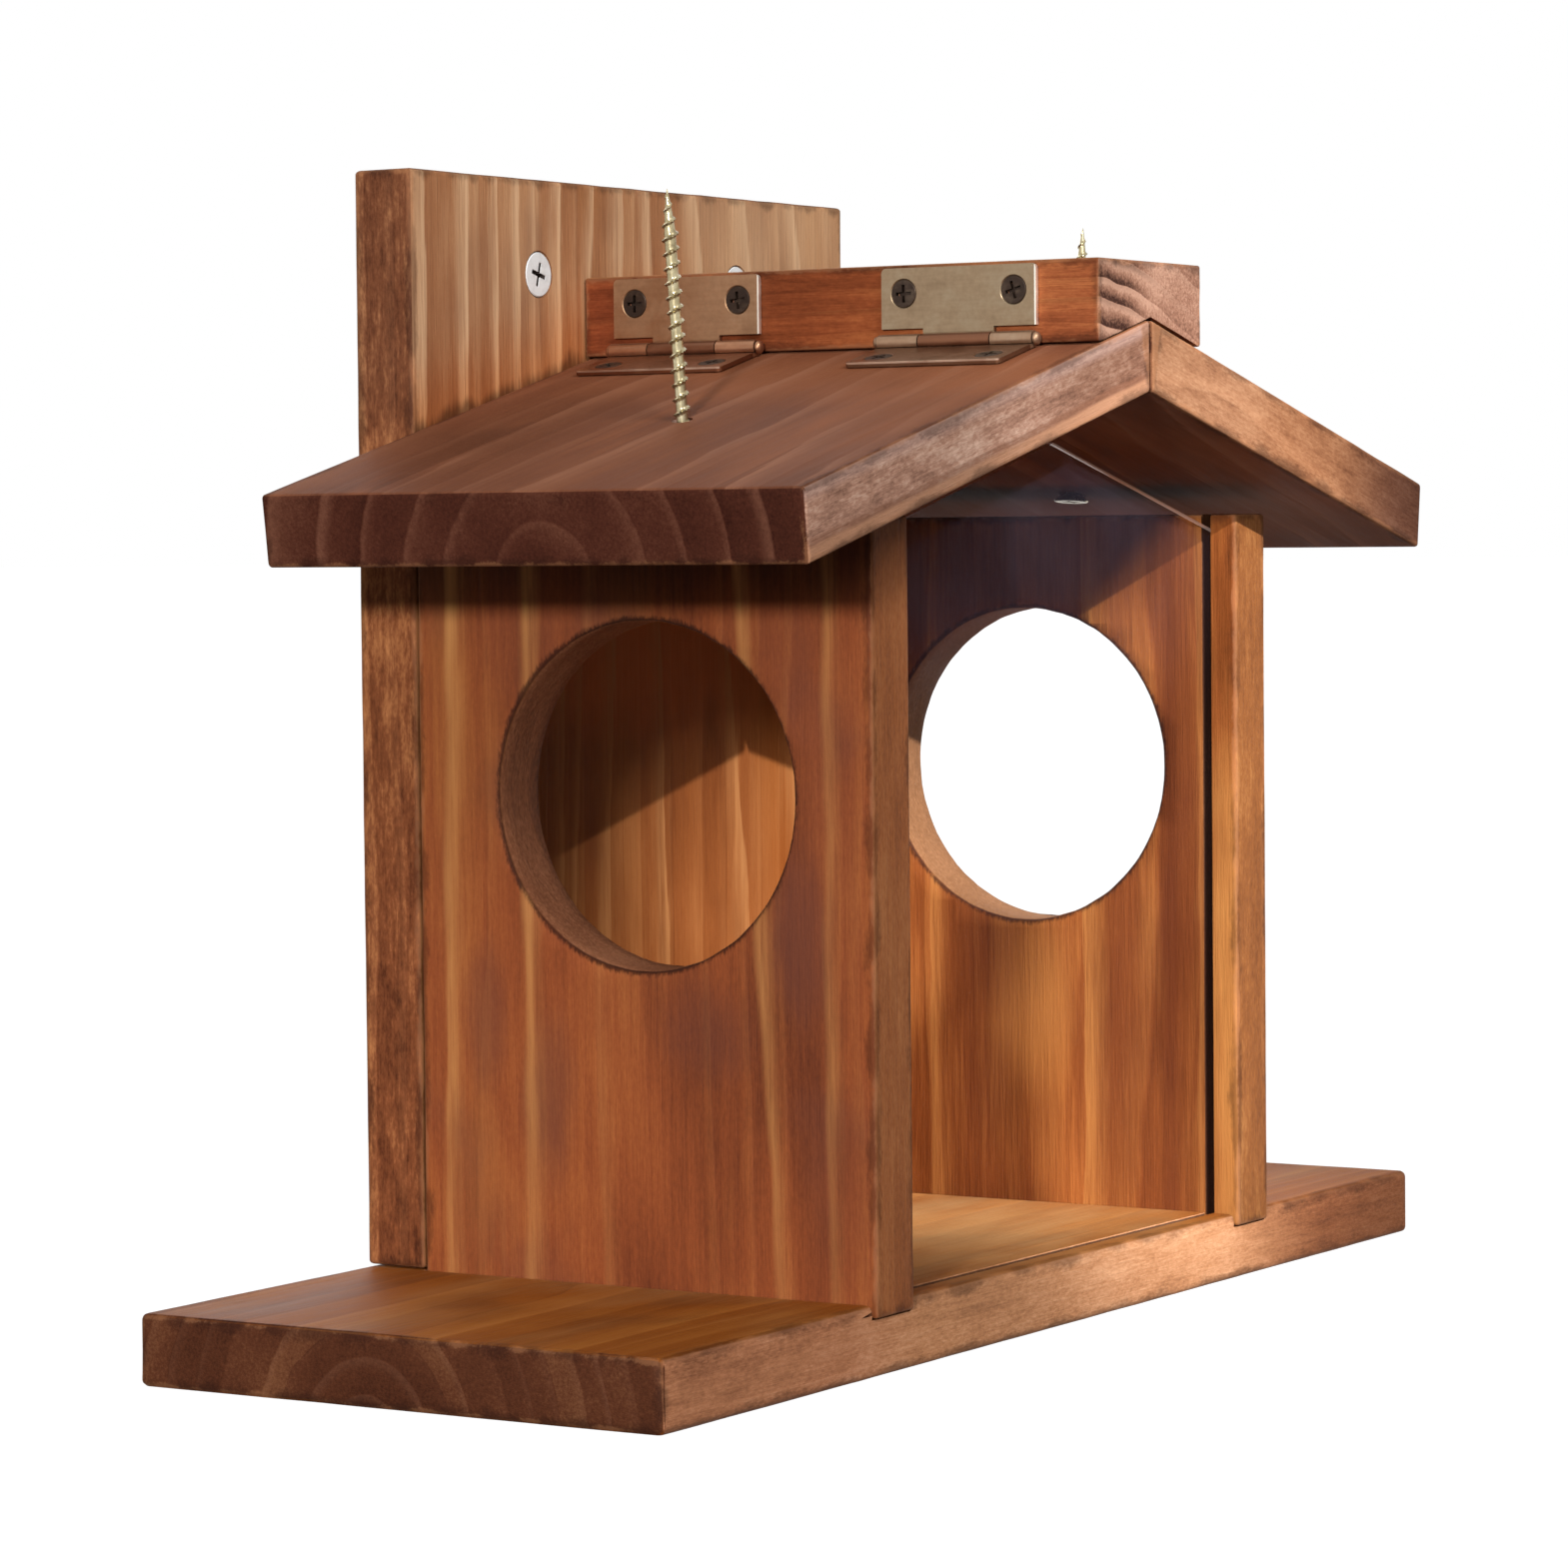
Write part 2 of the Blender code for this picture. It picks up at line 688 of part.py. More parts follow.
def make_board_screws(base, back, walls, panel, beam, material):
    # The screws that hold the boards together, driven from below and from behind.
    mesh = screw_mesh("board_screw", board_screw)
    smooth_round(mesh)
    wall_middle = wall_outer_x - wall_thickness / 2
    below = board_screw_sink
    behind = rear_y - board_screw_sink
    low_z = wall_bottom_z + board_screw_inset + board_screw["length"] / 2
    high_z = wall_top_z - board_screw_inset
    for side_name, side, wall in (("left", -1, walls[0]), ("right", 1, walls[1])):
        x = side * wall_middle
        for where, y in (("front", wall_front_y + board_screw_inset),
                         ("rear", back_front_y - board_screw_inset)):
            spot = facing((x, y, below), downwards)
            name = f"{side_name}_wall_{where}_base_screw"
            add_screw(name, mesh, board_screw, material, spot, [base, wall])
        for where, z in (("lower", low_z), ("upper", high_z)):
            spot = facing((x, behind, z), to_rear)
            name = f"{side_name}_wall_{where}_back_screw"
            add_screw(name, mesh, board_screw, material, spot, [back, wall])
        foot_x = side * foot_screw_spacing / 2
        spot = facing((foot_x, rear_y - back_thickness / 2, below), downwards)
        add_screw(f"back_board_{side_name}_base_screw", mesh, board_screw, material, spot, [base, back])
        beam_x = side * beam_screw_spacing / 2
        beam_z = (roof_top_z(beam_x) + beam_top_z) / 2
        spot = facing((beam_x, behind, beam_z), to_rear)
        add_screw(f"beam_{side_name}_back_screw", mesh, board_screw, material, spot, [back, beam])
    for where, x in (("inner", panel_screw_inset), ("outer", wall_inner_x)):
        middle_z = (roof_top_z(x) + roof_bottom_z(x)) / 2
        spot = facing((x, behind, middle_z), to_rear)
        add_screw(f"roof_panel_{where}_back_screw", mesh, board_screw, material, spot, [back, panel])


def hang_on_axis(pieces):
    # Everything that swings with the lid is parented to an empty on the hinge axis.
    axis = bpy.data.objects.new("lid_axis", None)
    axis.empty_display_size = hinge_length
    axis.location = lid_axis
    bpy.context.scene.collection.objects.link(axis)
    bpy.context.view_layer.update()
    for piece in pieces:
        place = piece.matrix_world.copy()
        piece.parent = axis
        piece.matrix_parent_inverse = Matrix.Identity(4)
        piece.matrix_basis = axis.matrix_world.inverted() @ place


def main():
    clear_scene()
    base_wood = make_material("base_wood", (0.42, 0.19, 0.09), 0.55)
    wall_wood = make_material("wall_wood", (0.36, 0.13, 0.05), 0.55)
    back_wood = make_material("back_wood", (0.42, 0.21, 0.11), 0.6)
    roof_wood = make_material("roof_wood", (0.19, 0.08, 0.06), 0.6)
    beam_wood = make_material("beam_wood", (0.36, 0.12, 0.06), 0.55)
    clear_plastic = make_material("clear_plastic", (0.86, 0.88, 0.9), 0.05, alpha=0.25)
    hinge_steel = make_material("hinge_steel", (0.32, 0.25, 0.17), 0.35, 0.9)
    dark_steel = make_material("dark_steel", (0.06, 0.035, 0.03), 0.45, 0.7)
    yellow_zinc = make_material("yellow_zinc", (0.72, 0.6, 0.33), 0.3, 0.9)
    white_paint = make_material("white_paint", (0.8, 0.8, 0.8), 0.4)

    base = make_base(base_wood)
    back = make_back(back_wood)
    walls = [make_wall("left_wall", -1, wall_wood), make_wall("right_wall", 1, wall_wood)]
    make_window(clear_plastic)
    panel = make_roof_panel(roof_wood)
    lid = make_lid(roof_wood)
    beam = make_beam(beam_wood)

    hinge_pieces = make_hinges(beam, lid, hinge_steel, dark_steel)
    cob_screws = make_cob_screws(panel, lid, yellow_zinc)
    large_screw = screw_mesh("mount_screw", mount_screw)
    smooth_round(large_screw)
    make_mount_screws(back, large_screw, white_paint)
    make_board_screws(base, back, walls, panel, beam, yellow_zinc)
    hang_on_axis([lid, cob_screws[0], *hinge_pieces])
    bpy.context.view_layer.update()


main()
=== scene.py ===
import math

import bmesh
import bpy
from mathutils import Euler, Matrix, Vector, noise


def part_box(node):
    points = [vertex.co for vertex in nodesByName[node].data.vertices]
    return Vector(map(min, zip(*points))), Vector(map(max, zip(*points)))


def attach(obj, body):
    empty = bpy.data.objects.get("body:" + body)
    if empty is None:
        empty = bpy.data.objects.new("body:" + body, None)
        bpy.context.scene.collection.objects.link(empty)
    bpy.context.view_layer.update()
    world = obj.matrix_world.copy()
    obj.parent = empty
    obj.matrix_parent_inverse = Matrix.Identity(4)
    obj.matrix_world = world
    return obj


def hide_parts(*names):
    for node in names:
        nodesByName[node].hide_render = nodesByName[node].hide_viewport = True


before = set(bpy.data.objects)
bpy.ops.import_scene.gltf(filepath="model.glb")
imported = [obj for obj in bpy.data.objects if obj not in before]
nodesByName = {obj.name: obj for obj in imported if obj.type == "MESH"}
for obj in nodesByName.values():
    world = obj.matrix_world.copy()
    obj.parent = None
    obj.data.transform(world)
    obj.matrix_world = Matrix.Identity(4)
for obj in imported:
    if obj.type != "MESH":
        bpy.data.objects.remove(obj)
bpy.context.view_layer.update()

# A squirrel house of torched and stained softwood: the looks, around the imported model.
mm = 0.001
perMetre = 1000.0  # object coordinates are metres, and the wood patterns count in millimetres
pitch = math.radians(14.2)  # of the roof
slope = math.tan(pitch)
print("frame loaded:", len(nodesByName), "nodes")

# Camera, at the photograph's viewing place
cameraSet = {
    "place": (-1.000071, -0.596755, 0.171359),
    "turn": 58.303,   # degrees right of straight ahead (+Y)
    "dip": 2.687,     # degrees below level
    "roll": -0.550,
    "lens": 120.22,
    "sensor": 36.0,
}


def makeCamera(look):
    turn, dip, roll = (math.radians(look[key]) for key in ("turn", "dip", "roll"))
    ahead = Vector((math.sin(turn) * math.cos(dip), math.cos(turn) * math.cos(dip), -math.sin(dip)))
    right = Vector((math.cos(turn), -math.sin(turn), 0))
    up = right.cross(ahead)
    rolledRight = right * math.cos(roll) + up * math.sin(roll)
    rolledUp = up * math.cos(roll) - right * math.sin(roll)
    data = bpy.data.cameras.new("photoCamera")
    data.lens = look["lens"]
    data.sensor_width = look["sensor"]
    data.clip_end = 50
    camera = bpy.data.objects.new("photoCamera", data)
    bpy.context.scene.collection.objects.link(camera)
    camera.matrix_world = Matrix.LocRotScale(
        Vector(look["place"]), Matrix((rolledRight, rolledUp, -ahead)).transposed().to_quaternion(), None)
    bpy.context.scene.camera = camera


makeCamera(cameraSet)


# Shader node helpers
def plug(tree, value, socket):
    if isinstance(value, bpy.types.NodeSocket):
        tree.links.new(value, socket)
    elif value is not None:
        socket.default_value = value


def calc(tree, operation, *values, clamp=False):
    node = tree.nodes.new("ShaderNodeMath")
    node.operation = operation
    node.use_clamp = clamp
    for value, socket in zip(values, node.inputs):
        plug(tree, value, socket)
    return node.outputs[0]


def vecCalc(tree, operation, *values):
    node = tree.nodes.new("ShaderNodeVectorMath")
    node.operation = operation
    for value, socket in zip(values, node.inputs):
        plug(tree, value, socket)
    return node.outputs["Value" if operation in ("LENGTH", "DOT_PRODUCT") else "Vector"]


def stretched(tree, place, scale, seed):
    # The place, stretched by three scales and moved away by a seed
    return vecCalc(tree, "MULTIPLY_ADD", place, scale, (seed, seed * 1.7, seed * 2.3))


def cloud(tree, place, detail=2.0, roughness=0.5, output="Fac", kind="3D"):
    node = tree.nodes.new("ShaderNodeTexNoise")
    node.noise_dimensions = kind
    plug(tree, place, node.inputs["W" if kind == "1D" else "Vector"])
    node.inputs["Scale"].default_value = 1.0
    node.inputs["Detail"].default_value = detail
    node.inputs["Roughness"].default_value = roughness
    return node.outputs[output]


def chance(tree, value):
    node = tree.nodes.new("ShaderNodeTexWhiteNoise")
    node.noise_dimensions = "1D"
    plug(tree, value, node.inputs["W"])
    return node.outputs["Value"]


def fade(tree, value, low, high, start=0.0, end=1.0, smooth=True):
    node = tree.nodes.new("ShaderNodeMapRange")
    node.interpolation_type = "SMOOTHSTEP" if smooth else "LINEAR"
    for name, item in (("Value", value), ("From Min", low), ("From Max", high),
                       ("To Min", start), ("To Max", end)):
        plug(tree, item, node.inputs[name])
    return node.outputs["Result"]


def tint(tree, share, first, second, mode="MIX"):
    node = tree.nodes.new("ShaderNodeMix")
    node.data_type = "RGBA"
    node.blend_type = mode
    for item, socket in ((share, node.inputs[0]), (first, node.inputs[6]), (second, node.inputs[7])):
        if isinstance(item, tuple):
            item = (*item, 1.0)
        plug(tree, item, socket)
    return node.outputs[2]


def colourRamp(tree, value, colours):
    # Evenly spaced colours, from the darkest up
    node = tree.nodes.new("ShaderNodeValToRGB")
    ramp = node.color_ramp
    for count, colour in enumerate(colours):
        spot = count / (len(colours) - 1)
        stop = ramp.elements[count] if count < 2 else ramp.elements.new(spot)
        stop.position = spot
        stop.color = (*colour, 1.0)
    plug(tree, value, node.inputs["Fac"])
    return node.outputs["Color"]


def bumpFrom(tree, height, strength, depth):
    node = tree.nodes.new("ShaderNodeBump")
    node.inputs["Strength"].default_value = strength
    node.inputs["Distance"].default_value = depth
    plug(tree, height, node.inputs["Height"])
    return node.outputs["Normal"]


def newMaterial(name):
    material = bpy.data.materials.new(name)
    material.use_nodes = True
    tree = material.node_tree
    return material, tree, tree.nodes["Principled BSDF"]


# Wood. Every board has a frame of its own: along the grain, across its width, through its thickness,
# in millimetres from its middle. Growth rings run round a pith that lies beside the board, so one
# pattern gives the streaks on the faces and the arcs on the ends.
woodBase = {
    "seed": 1.0,
    "pith": (0.0, -30.0),
    "ring": 9.0,          # mm from ring to ring
    "uneven": 1.2,        # how much that spacing varies
    "warp": 12.0,         # mm that the rings wander along the board
    "line": 0.3,          # share of a ring that is its pale line
    "streak": 0.5,
    "endStreak": 0.6,
    "saw": 0.25,          # how far the tone climbs from one ring to the next
    "endSaw": 0.08,
    "zones": 0.3,         # how much one ring differs from the next
    "blotch": 1.1,
    "fibre": 0.4,
    "hair": 0.3,
    "coarse": 1.0,
    "fuzz": (0.12, 0.6, 0.6),  # how speckled the faces, the sides and the ends are
    "face": ((0.12, 0.032, 0.012), (0.29, 0.083, 0.027), (0.45, 0.165, 0.05)),
    "side": ((0.13, 0.045, 0.02), (0.3, 0.11, 0.045), (0.47, 0.21, 0.09)),
    "end": ((0.035, 0.01, 0.005), (0.075, 0.024, 0.012), (0.15, 0.06, 0.034)),
    "pale": (0.52, 0.23, 0.075),
    "sidePale": (0.5, 0.24, 0.11),
    "endPale": (0.24, 0.11, 0.065),
    "stain": (0.1, 0.036, 0.026),
    "stainShare": 0.55,
    "glow": (0.5, 0.2, 0.055),
    "glowShare": 0.4,
    "streaks": (),        # (place across, width, strength, slant) of single pale streaks
    "patches": (),        # (place along, place across, half length, half width, share, colour's name)
    "streakEdge": 0.9,    # mm over which such a streak ends on its sharper side
    "streakLoss": 0.0,    # share that those streaks lose where they are faint
    "sway": 0.0,          # mm that those streaks wander
    # Some of these stretches are painted shade, darkening side faces where they fall out of the light
    "sideToneAndShade": (),     # (from, to, colour) of stretches of the side faces with another tone
    "sideBands": (),      # (from, to, share, colour) of bands along the sides, through the thickness
    "endFade": None,      # (from, to) across the board, where the rings on its ends fade out
    # Painted shade: the next entry is the colour multiplied over the inside of the back board, below the roof line
    "insideShade": None,        # the colour that darkens the inside of the back board
    "groove": None,       # (middle across, half width, side) of the groove that holds the window
    "char": 0.5,
    "charWidth": 2.2,
    "wear": 0.25,
    "wearColour": (0.5, 0.22, 0.1),
    # The next colour is real char on edges, rims and joints, and also painted shade: the groove's inside and the band
    # under the left eave
    "charAndShade": (0.025, 0.009, 0.006),
    "shine": 0.04,
    "hole": None,         # (along, across, radius) of a round hole through the board
}


def woodMaterial(name, board, look):
    look = dict(woodBase, **look)
    material, tree, shader = newMaterial(name)
    seed = look["seed"]
    spot = tree.nodes.new("ShaderNodeTexCoord")
    turn = Euler((0, board["tilt"], 0))
    shift = -(turn.to_matrix() @ (board["centre"] * perMetre))
    placing = tree.nodes.new("ShaderNodeMapping")
    tree.links.new(spot.outputs["Object"], placing.inputs["Vector"])
    placing.inputs["Location"].default_value = shift
    placing.inputs["Rotation"].default_value = turn
    placing.inputs["Scale"].default_value = (perMetre, perMetre, perMetre)
    parts = tree.nodes.new("ShaderNodeSeparateXYZ")
    tree.links.new(placing.outputs["Vector"], parts.inputs[0])
    along, across, through = (parts.outputs["XYZ".index(axis)] for axis in board["axes"])
    joined = tree.nodes.new("ShaderNodeCombineXYZ")
    for value, socket in zip((along, across, through), joined.inputs):
        tree.links.new(value, socket)
    place = joined.outputs[0]

    def grain(scale, move, detail=2.0, roughness=0.5):
        # Noise around zero, in the board's own frame
        return calc(tree, "SUBTRACT", cloud(tree, stretched(tree, place, scale, seed + move), detail, roughness), 0.5)

    # Which kind of surface this is, from the way it faces
    toWorld = turn.to_matrix().transposed()
    facings = []
    for axis in board["axes"][:2]:
        direction = toWorld @ Vector([float(axis == letter) for letter in "XYZ"])
        leaning = calc(tree, "ABSOLUTE", vecCalc(tree, "DOT_PRODUCT", spot.outputs["Normal"], direction))
        facings.append(fade(tree, leaning, 0.55, 0.8))
    isEnd, isSide = facings

    # Growth rings, each climbing slowly to its pale line and then starting dark again
    drift = tree.nodes.new("ShaderNodeSeparateColor")
    plug(tree, cloud(tree, stretched(tree, place, (0.007, 0.009, 0.009), seed), output="Color"), drift.inputs[0])
    wave = grain((0.035, 0.1, 0.1), 4, 1.0)
    offsets = []
    for value, pith, channel in ((across, look["pith"][0], 0), (through, look["pith"][1], 1)):
        wander = calc(tree, "MULTIPLY_ADD", drift.outputs[channel], look["warp"], -look["warp"] / 2 - pith)
        wander = calc(tree, "MULTIPLY_ADD", wave, 1.6, wander)
        offsets.append(calc(tree, "ADD", value, wander))
    squares = [calc(tree, "MULTIPLY", value, value) for value in offsets]
    radius = calc(tree, "SQRT", calc(tree, "ADD", *squares))
    unevenness = cloud(tree, calc(tree, "MULTIPLY_ADD", radius, 0.055, seed * 3.1), 1.0, kind="1D")
    count = calc(tree, "MULTIPLY_ADD", radius, 1 / look["ring"], calc(tree, "MULTIPLY", unevenness, look["uneven"]))
    ringNumber = calc(tree, "FLOOR", count)
    ringShare = calc(tree, "SUBTRACT", count, ringNumber)
    luck = chance(tree, calc(tree, "ADD", ringNumber, seed * 7.7))
    otherLuck = chance(tree, calc(tree, "ADD", ringNumber, seed * 5.3 + 31))
    rise = fade(tree, ringShare, 1 - look["line"], 0.92)
    fall = fade(tree, ringShare, 0.93, 1.0, 1.0, 0.0)
    line = calc(tree, "MULTIPLY", calc(tree, "MULTIPLY", rise, fall), fade(tree, luck, 0.0, 0.8, 0.15, 1.0))

    # Tone: stain blotches, one ring against the next, and fibres
    blotch = grain((0.014, 0.034, 0.034), 9, 3.0, 0.55)
    fibre = grain((0.03, 0.75, 0.75), 14, 3.0, 0.65)
    hair = grain((0.12, 3.2, 3.2), 19, 2.0, 0.6)
    speck = grain((0.55, 1.5, 1.5), 24, 4.0, 0.7)
    fuzz = calc(tree, "MULTIPLY_ADD", isSide, look["fuzz"][1] - look["fuzz"][0], look["fuzz"][0])
    fuzz = calc(tree, "MULTIPLY_ADD", isEnd, look["fuzz"][2] - look["fuzz"][0], fuzz)
    tone = calc(tree, "MULTIPLY_ADD", blotch, look["blotch"], 0.5)
    zone = calc(tree, "MULTIPLY_ADD", otherLuck, look["zones"], -look["zones"] / 2)
    climb = calc(tree, "MULTIPLY_ADD", calc(tree, "POWER", ringShare, 1.4), fall, -0.38)
    saw = calc(tree, "MULTIPLY_ADD", isEnd, look["endSaw"] - look["saw"], look["saw"])
    endStreak = look["endStreak"]
    if look["endFade"]:
        lost = calc(tree, "MULTIPLY", isEnd, fade(tree, across, *look["endFade"], 0.0, 0.85))
        kept = calc(tree, "SUBTRACT", 1.0, lost)
        saw = calc(tree, "MULTIPLY", saw, kept)
        endStreak = calc(tree, "MULTIPLY", kept, endStreak)
        tone = calc(tree, "MULTIPLY_ADD", lost, 0.25, tone)
    tone = calc(tree, "ADD", tone, calc(tree, "MULTIPLY_ADD", climb, saw, zone))
    coarse = grain((0.08, 0.3, 0.3), 28, 4.0, 0.74)
    tone = calc(tree, "MULTIPLY_ADD", coarse, calc(tree, "MULTIPLY_ADD", isSide, look["coarse"], 0.1), tone)
    tone = calc(tree, "MULTIPLY_ADD", fibre, look["fibre"], tone)
    tone = calc(tree, "MULTIPLY_ADD", hair, look["hair"], tone)
    tone = calc(tree, "MULTIPLY_ADD", speck, calc(tree, "MULTIPLY", fuzz, 1.5), tone)

    faceColour = colourRamp(tree, tone, look["face"])
    sideColour = colourRamp(tree, tone, look["side"])
    endColour = colourRamp(tree, tone, look["end"])
    # Warm and sooty patches, where the torch has lingered or not
    warm = fade(tree, calc(tree, "MULTIPLY_ADD", fibre, 0.2, grain((0.012, 0.045, 0.045), 41, 2.0)), 0.03, 0.22)
    faceColour = tint(tree, calc(tree, "MULTIPLY", warm, look["glowShare"]), faceColour, look["glow"])
    sooty = fade(tree, calc(tree, "MULTIPLY_ADD", fibre, 0.15, grain((0.018, 0.03, 0.03), 52, 3.0)), 0.03, 0.24)
    faceColour = tint(tree, calc(tree, "MULTIPLY", sooty, look["stainShare"]), faceColour, look["stain"])
    ripple = calc(tree, "MULTIPLY_ADD", fibre, 0.9, calc(tree, "MULTIPLY", grain((0.04, 0.09, 0.09), 63, 3.0), 2.0))
    frontFace = fade(tree, through, 1, -1)
    for placeAlong, placeAcross, halfLength, halfWidth, share, shade in look["patches"]:
        farA = calc(tree, "MULTIPLY_ADD", along, 1 / halfLength, -placeAlong / halfLength)
        farB = calc(tree, "MULTIPLY_ADD", across, 1 / halfWidth, -placeAcross / halfWidth)
        far = calc(tree, "ADD", calc(tree, "MULTIPLY", farA, farA), calc(tree, "MULTIPLY", farB, farB))
        near = fade(tree, calc(tree, "ADD", far, ripple), 2.2, -0.6)
        # Painted light: this patch brightens the shaded inside of the back board, on the face that looks into the
        # house only
        if shade == "paintedLight":
            near = calc(tree, "MULTIPLY", near, frontFace)
        faceColour = tint(tree, calc(tree, "MULTIPLY", near, share), faceColour, look[shade])
    soft = calc(tree, "MULTIPLY_ADD", fibre, 1.4, 0.9, clamp=True)
    drawn = calc(tree, "MULTIPLY", line, soft)
    single = None
    for position, width, strength, slant in look["streaks"]:
        away = calc(tree, "SUBTRACT", calc(tree, "MULTIPLY_ADD", along, -slant, across), position)
        away = calc(tree, "MULTIPLY_ADD", drift.outputs[0], look["sway"], calc(tree, "SUBTRACT", away, look["sway"] / 2))
        away = calc(tree, "MULTIPLY_ADD", wave, 3.0, calc(tree, "MULTIPLY_ADD", fibre, width * 0.6, away))
        climbing = calc(tree, "POWER", fade(tree, away, -width, 0.0, smooth=False), 1.6)
        falling = fade(tree, away, 0.0, look["streakEdge"], 1.0, 0.0)
        share = calc(tree, "MULTIPLY", calc(tree, "MULTIPLY", climbing, falling), strength)
        single = share if single is None else calc(tree, "MAXIMUM", single, share)
    faceShare = calc(tree, "MULTIPLY", drawn, look["streak"])
    if single is not None:
        faint = fade(tree, grain((0.02, 0.03, 0.03), 71, 2.0), -0.16, 0.1, 1 - look["streakLoss"], 1.0)
        single = calc(tree, "MULTIPLY", single, faint)
        faceShare = calc(tree, "MAXIMUM", faceShare, calc(tree, "MULTIPLY", single, soft))
    faceColour = tint(tree, faceShare, faceColour, look["pale"])
    sideColour = tint(tree, calc(tree, "MULTIPLY", drawn, look["streak"]), sideColour, look["sidePale"])
    endColour = tint(tree, calc(tree, "MULTIPLY", drawn, endStreak), endColour, look["endPale"])
    if look["insideShade"]:
        # Painted shade: darker below the roof line, and only on the face that looks into the house
        roofLine = calc(tree, "MULTIPLY_ADD", calc(tree, "ABSOLUTE", across), slope, along)
        inHouse = calc(tree, "MULTIPLY", fade(tree, roofLine, look["insideShadeTop"], look["insideShadeTop"] - 6), frontFace)
        faceColour = tint(tree, inHouse, faceColour, look["insideShade"], "MULTIPLY")
        # Above that line it is scorched along the joint with the roof
        nearLine = calc(tree, "MULTIPLY_ADD", ripple, 5.0, roofLine)
        outside = calc(tree, "MULTIPLY", calc(tree, "SUBTRACT", 1.0, inHouse), frontFace)
        for reached, strength, shade, mode in ((26, 1.0, look["scorch"], "MULTIPLY"),
                                               (7, 0.65, look["charAndShade"], "MIX")):
            joint = fade(tree, nearLine, look["insideShadeTop"] + reached, look["insideShadeTop"] + 3, 0.0, strength)
            faceColour = tint(tree, calc(tree, "MULTIPLY", joint, outside), faceColour, shade, mode)
    # Stretches of the side faces, retinted along the board; on the base and the roof panel they are painted shade
    for spanStart, spanEnd, spanColour in look["sideToneAndShade"]:
        sideColour = tint(tree, fade(tree, along, spanStart, spanEnd), sideColour, spanColour, "MULTIPLY")
    waver = calc(tree, "MULTIPLY_ADD", ripple, 0.6, through)
    for bandStart, bandEnd, share, shade in look["sideBands"]:
        inBand = fade(tree, waver, bandStart, bandEnd, 0.0, share)
        sideColour = tint(tree, inBand, sideColour, shade)
    colour = tint(tree, isSide, faceColour, sideColour)
    colour = tint(tree, isEnd, colour, endColour)
    # Painted shade: the inside of the window's groove is darkened
    if look["groove"]:
        grooveMiddle, grooveHalf, grooveSide = look["groove"]
        aside = calc(tree, "ABSOLUTE", calc(tree, "SUBTRACT", across, grooveMiddle))
        deep = calc(tree, "MULTIPLY", through, grooveSide)
        inGroove = calc(tree, "MULTIPLY", calc(tree, "LESS_THAN", aside, grooveHalf + 0.1),
                        calc(tree, "LESS_THAN", deep, board["halves"][2] - 0.25))
        inGroove = calc(tree, "MULTIPLY", inGroove, calc(tree, "GREATER_THAN", deep, 0.9))
        inGroove = calc(tree, "MULTIPLY", inGroove, calc(tree, "SUBTRACT", 1.0, isEnd))
        colour = tint(tree, calc(tree, "MULTIPLY", inGroove, 0.85), colour, look["charAndShade"])

    # Edges: first charred, then rubbed
    depths = [calc(tree, "SUBTRACT", half, calc(tree, "ABSOLUTE", value))
              for half, value in zip(board["halves"], (along, across, through))]
    least = calc(tree, "MINIMUM", depths[0], depths[1])
    most = calc(tree, "MAXIMUM", depths[0], depths[1])
    edge = calc(tree, "MAXIMUM", least, calc(tree, "MINIMUM", most, depths[2]))
    patch = grain((0.07, 0.16, 0.16), 31, 3.0)
    grit = calc(tree, "MULTIPLY_ADD", speck, 2.2, edge)
    burntEdge = fade(tree, calc(tree, "MULTIPLY_ADD", patch, 7.0, grit), look["charWidth"], 0.1)
    colour = tint(tree, calc(tree, "MULTIPLY", burntEdge, look["char"]), colour, look["charAndShade"])
    rubbed = fade(tree, calc(tree, "MULTIPLY_ADD", patch, -3.5, grit), 1.0, 0.2)
    colour = tint(tree, calc(tree, "MULTIPLY", rubbed, look["wear"]), colour, look["wearColour"])
    height = calc(tree, "MULTIPLY_ADD", fibre, 0.8, calc(tree, "MULTIPLY", hair, 0.5))
    height = calc(tree, "MULTIPLY_ADD", speck, fuzz, height)
    height = calc(tree, "MULTIPLY_ADD", line, 0.25, height)

    if look["hole"]:
        # The bore is fuzzy end and side grain, and its rim is charred and a little torn
        holeAlong, holeAcross, holeRadius = look["hole"]
        reachA = calc(tree, "SUBTRACT", along, holeAlong)
        reachB = calc(tree, "SUBTRACT", across, holeAcross)
        reach = calc(tree, "SQRT", calc(tree, "ADD", calc(tree, "MULTIPLY", reachA, reachA),
                                        calc(tree, "MULTIPLY", reachB, reachB)))
        beyond = calc(tree, "SUBTRACT", reach, holeRadius)
        turned = fade(tree, calc(tree, "ABSOLUTE", vecCalc(
            tree, "DOT_PRODUCT", spot.outputs["Normal"], Vector((1, 0, 0)))), 0.3, 0.7, 1.0, 0.0)
        inBore = calc(tree, "MULTIPLY", turned, fade(tree, beyond, 0.9, 0.5))
        boreTone = calc(tree, "MULTIPLY_ADD", speck, 1.4, calc(tree, "MULTIPLY_ADD", blotch, 1.2, 0.5))
        colour = tint(tree, inBore, colour, colourRamp(tree, boreTone, look["bore"]))
        ragged = calc(tree, "MULTIPLY_ADD", speck, 2.2, calc(tree, "MULTIPLY_ADD", patch, 1.5, beyond))
        rim = calc(tree, "MULTIPLY", fade(tree, ragged, 1.5, 0.3), calc(tree, "SUBTRACT", 1.0, inBore))
        colour = tint(tree, calc(tree, "MULTIPLY", rim, 0.85), colour, look["charAndShade"])

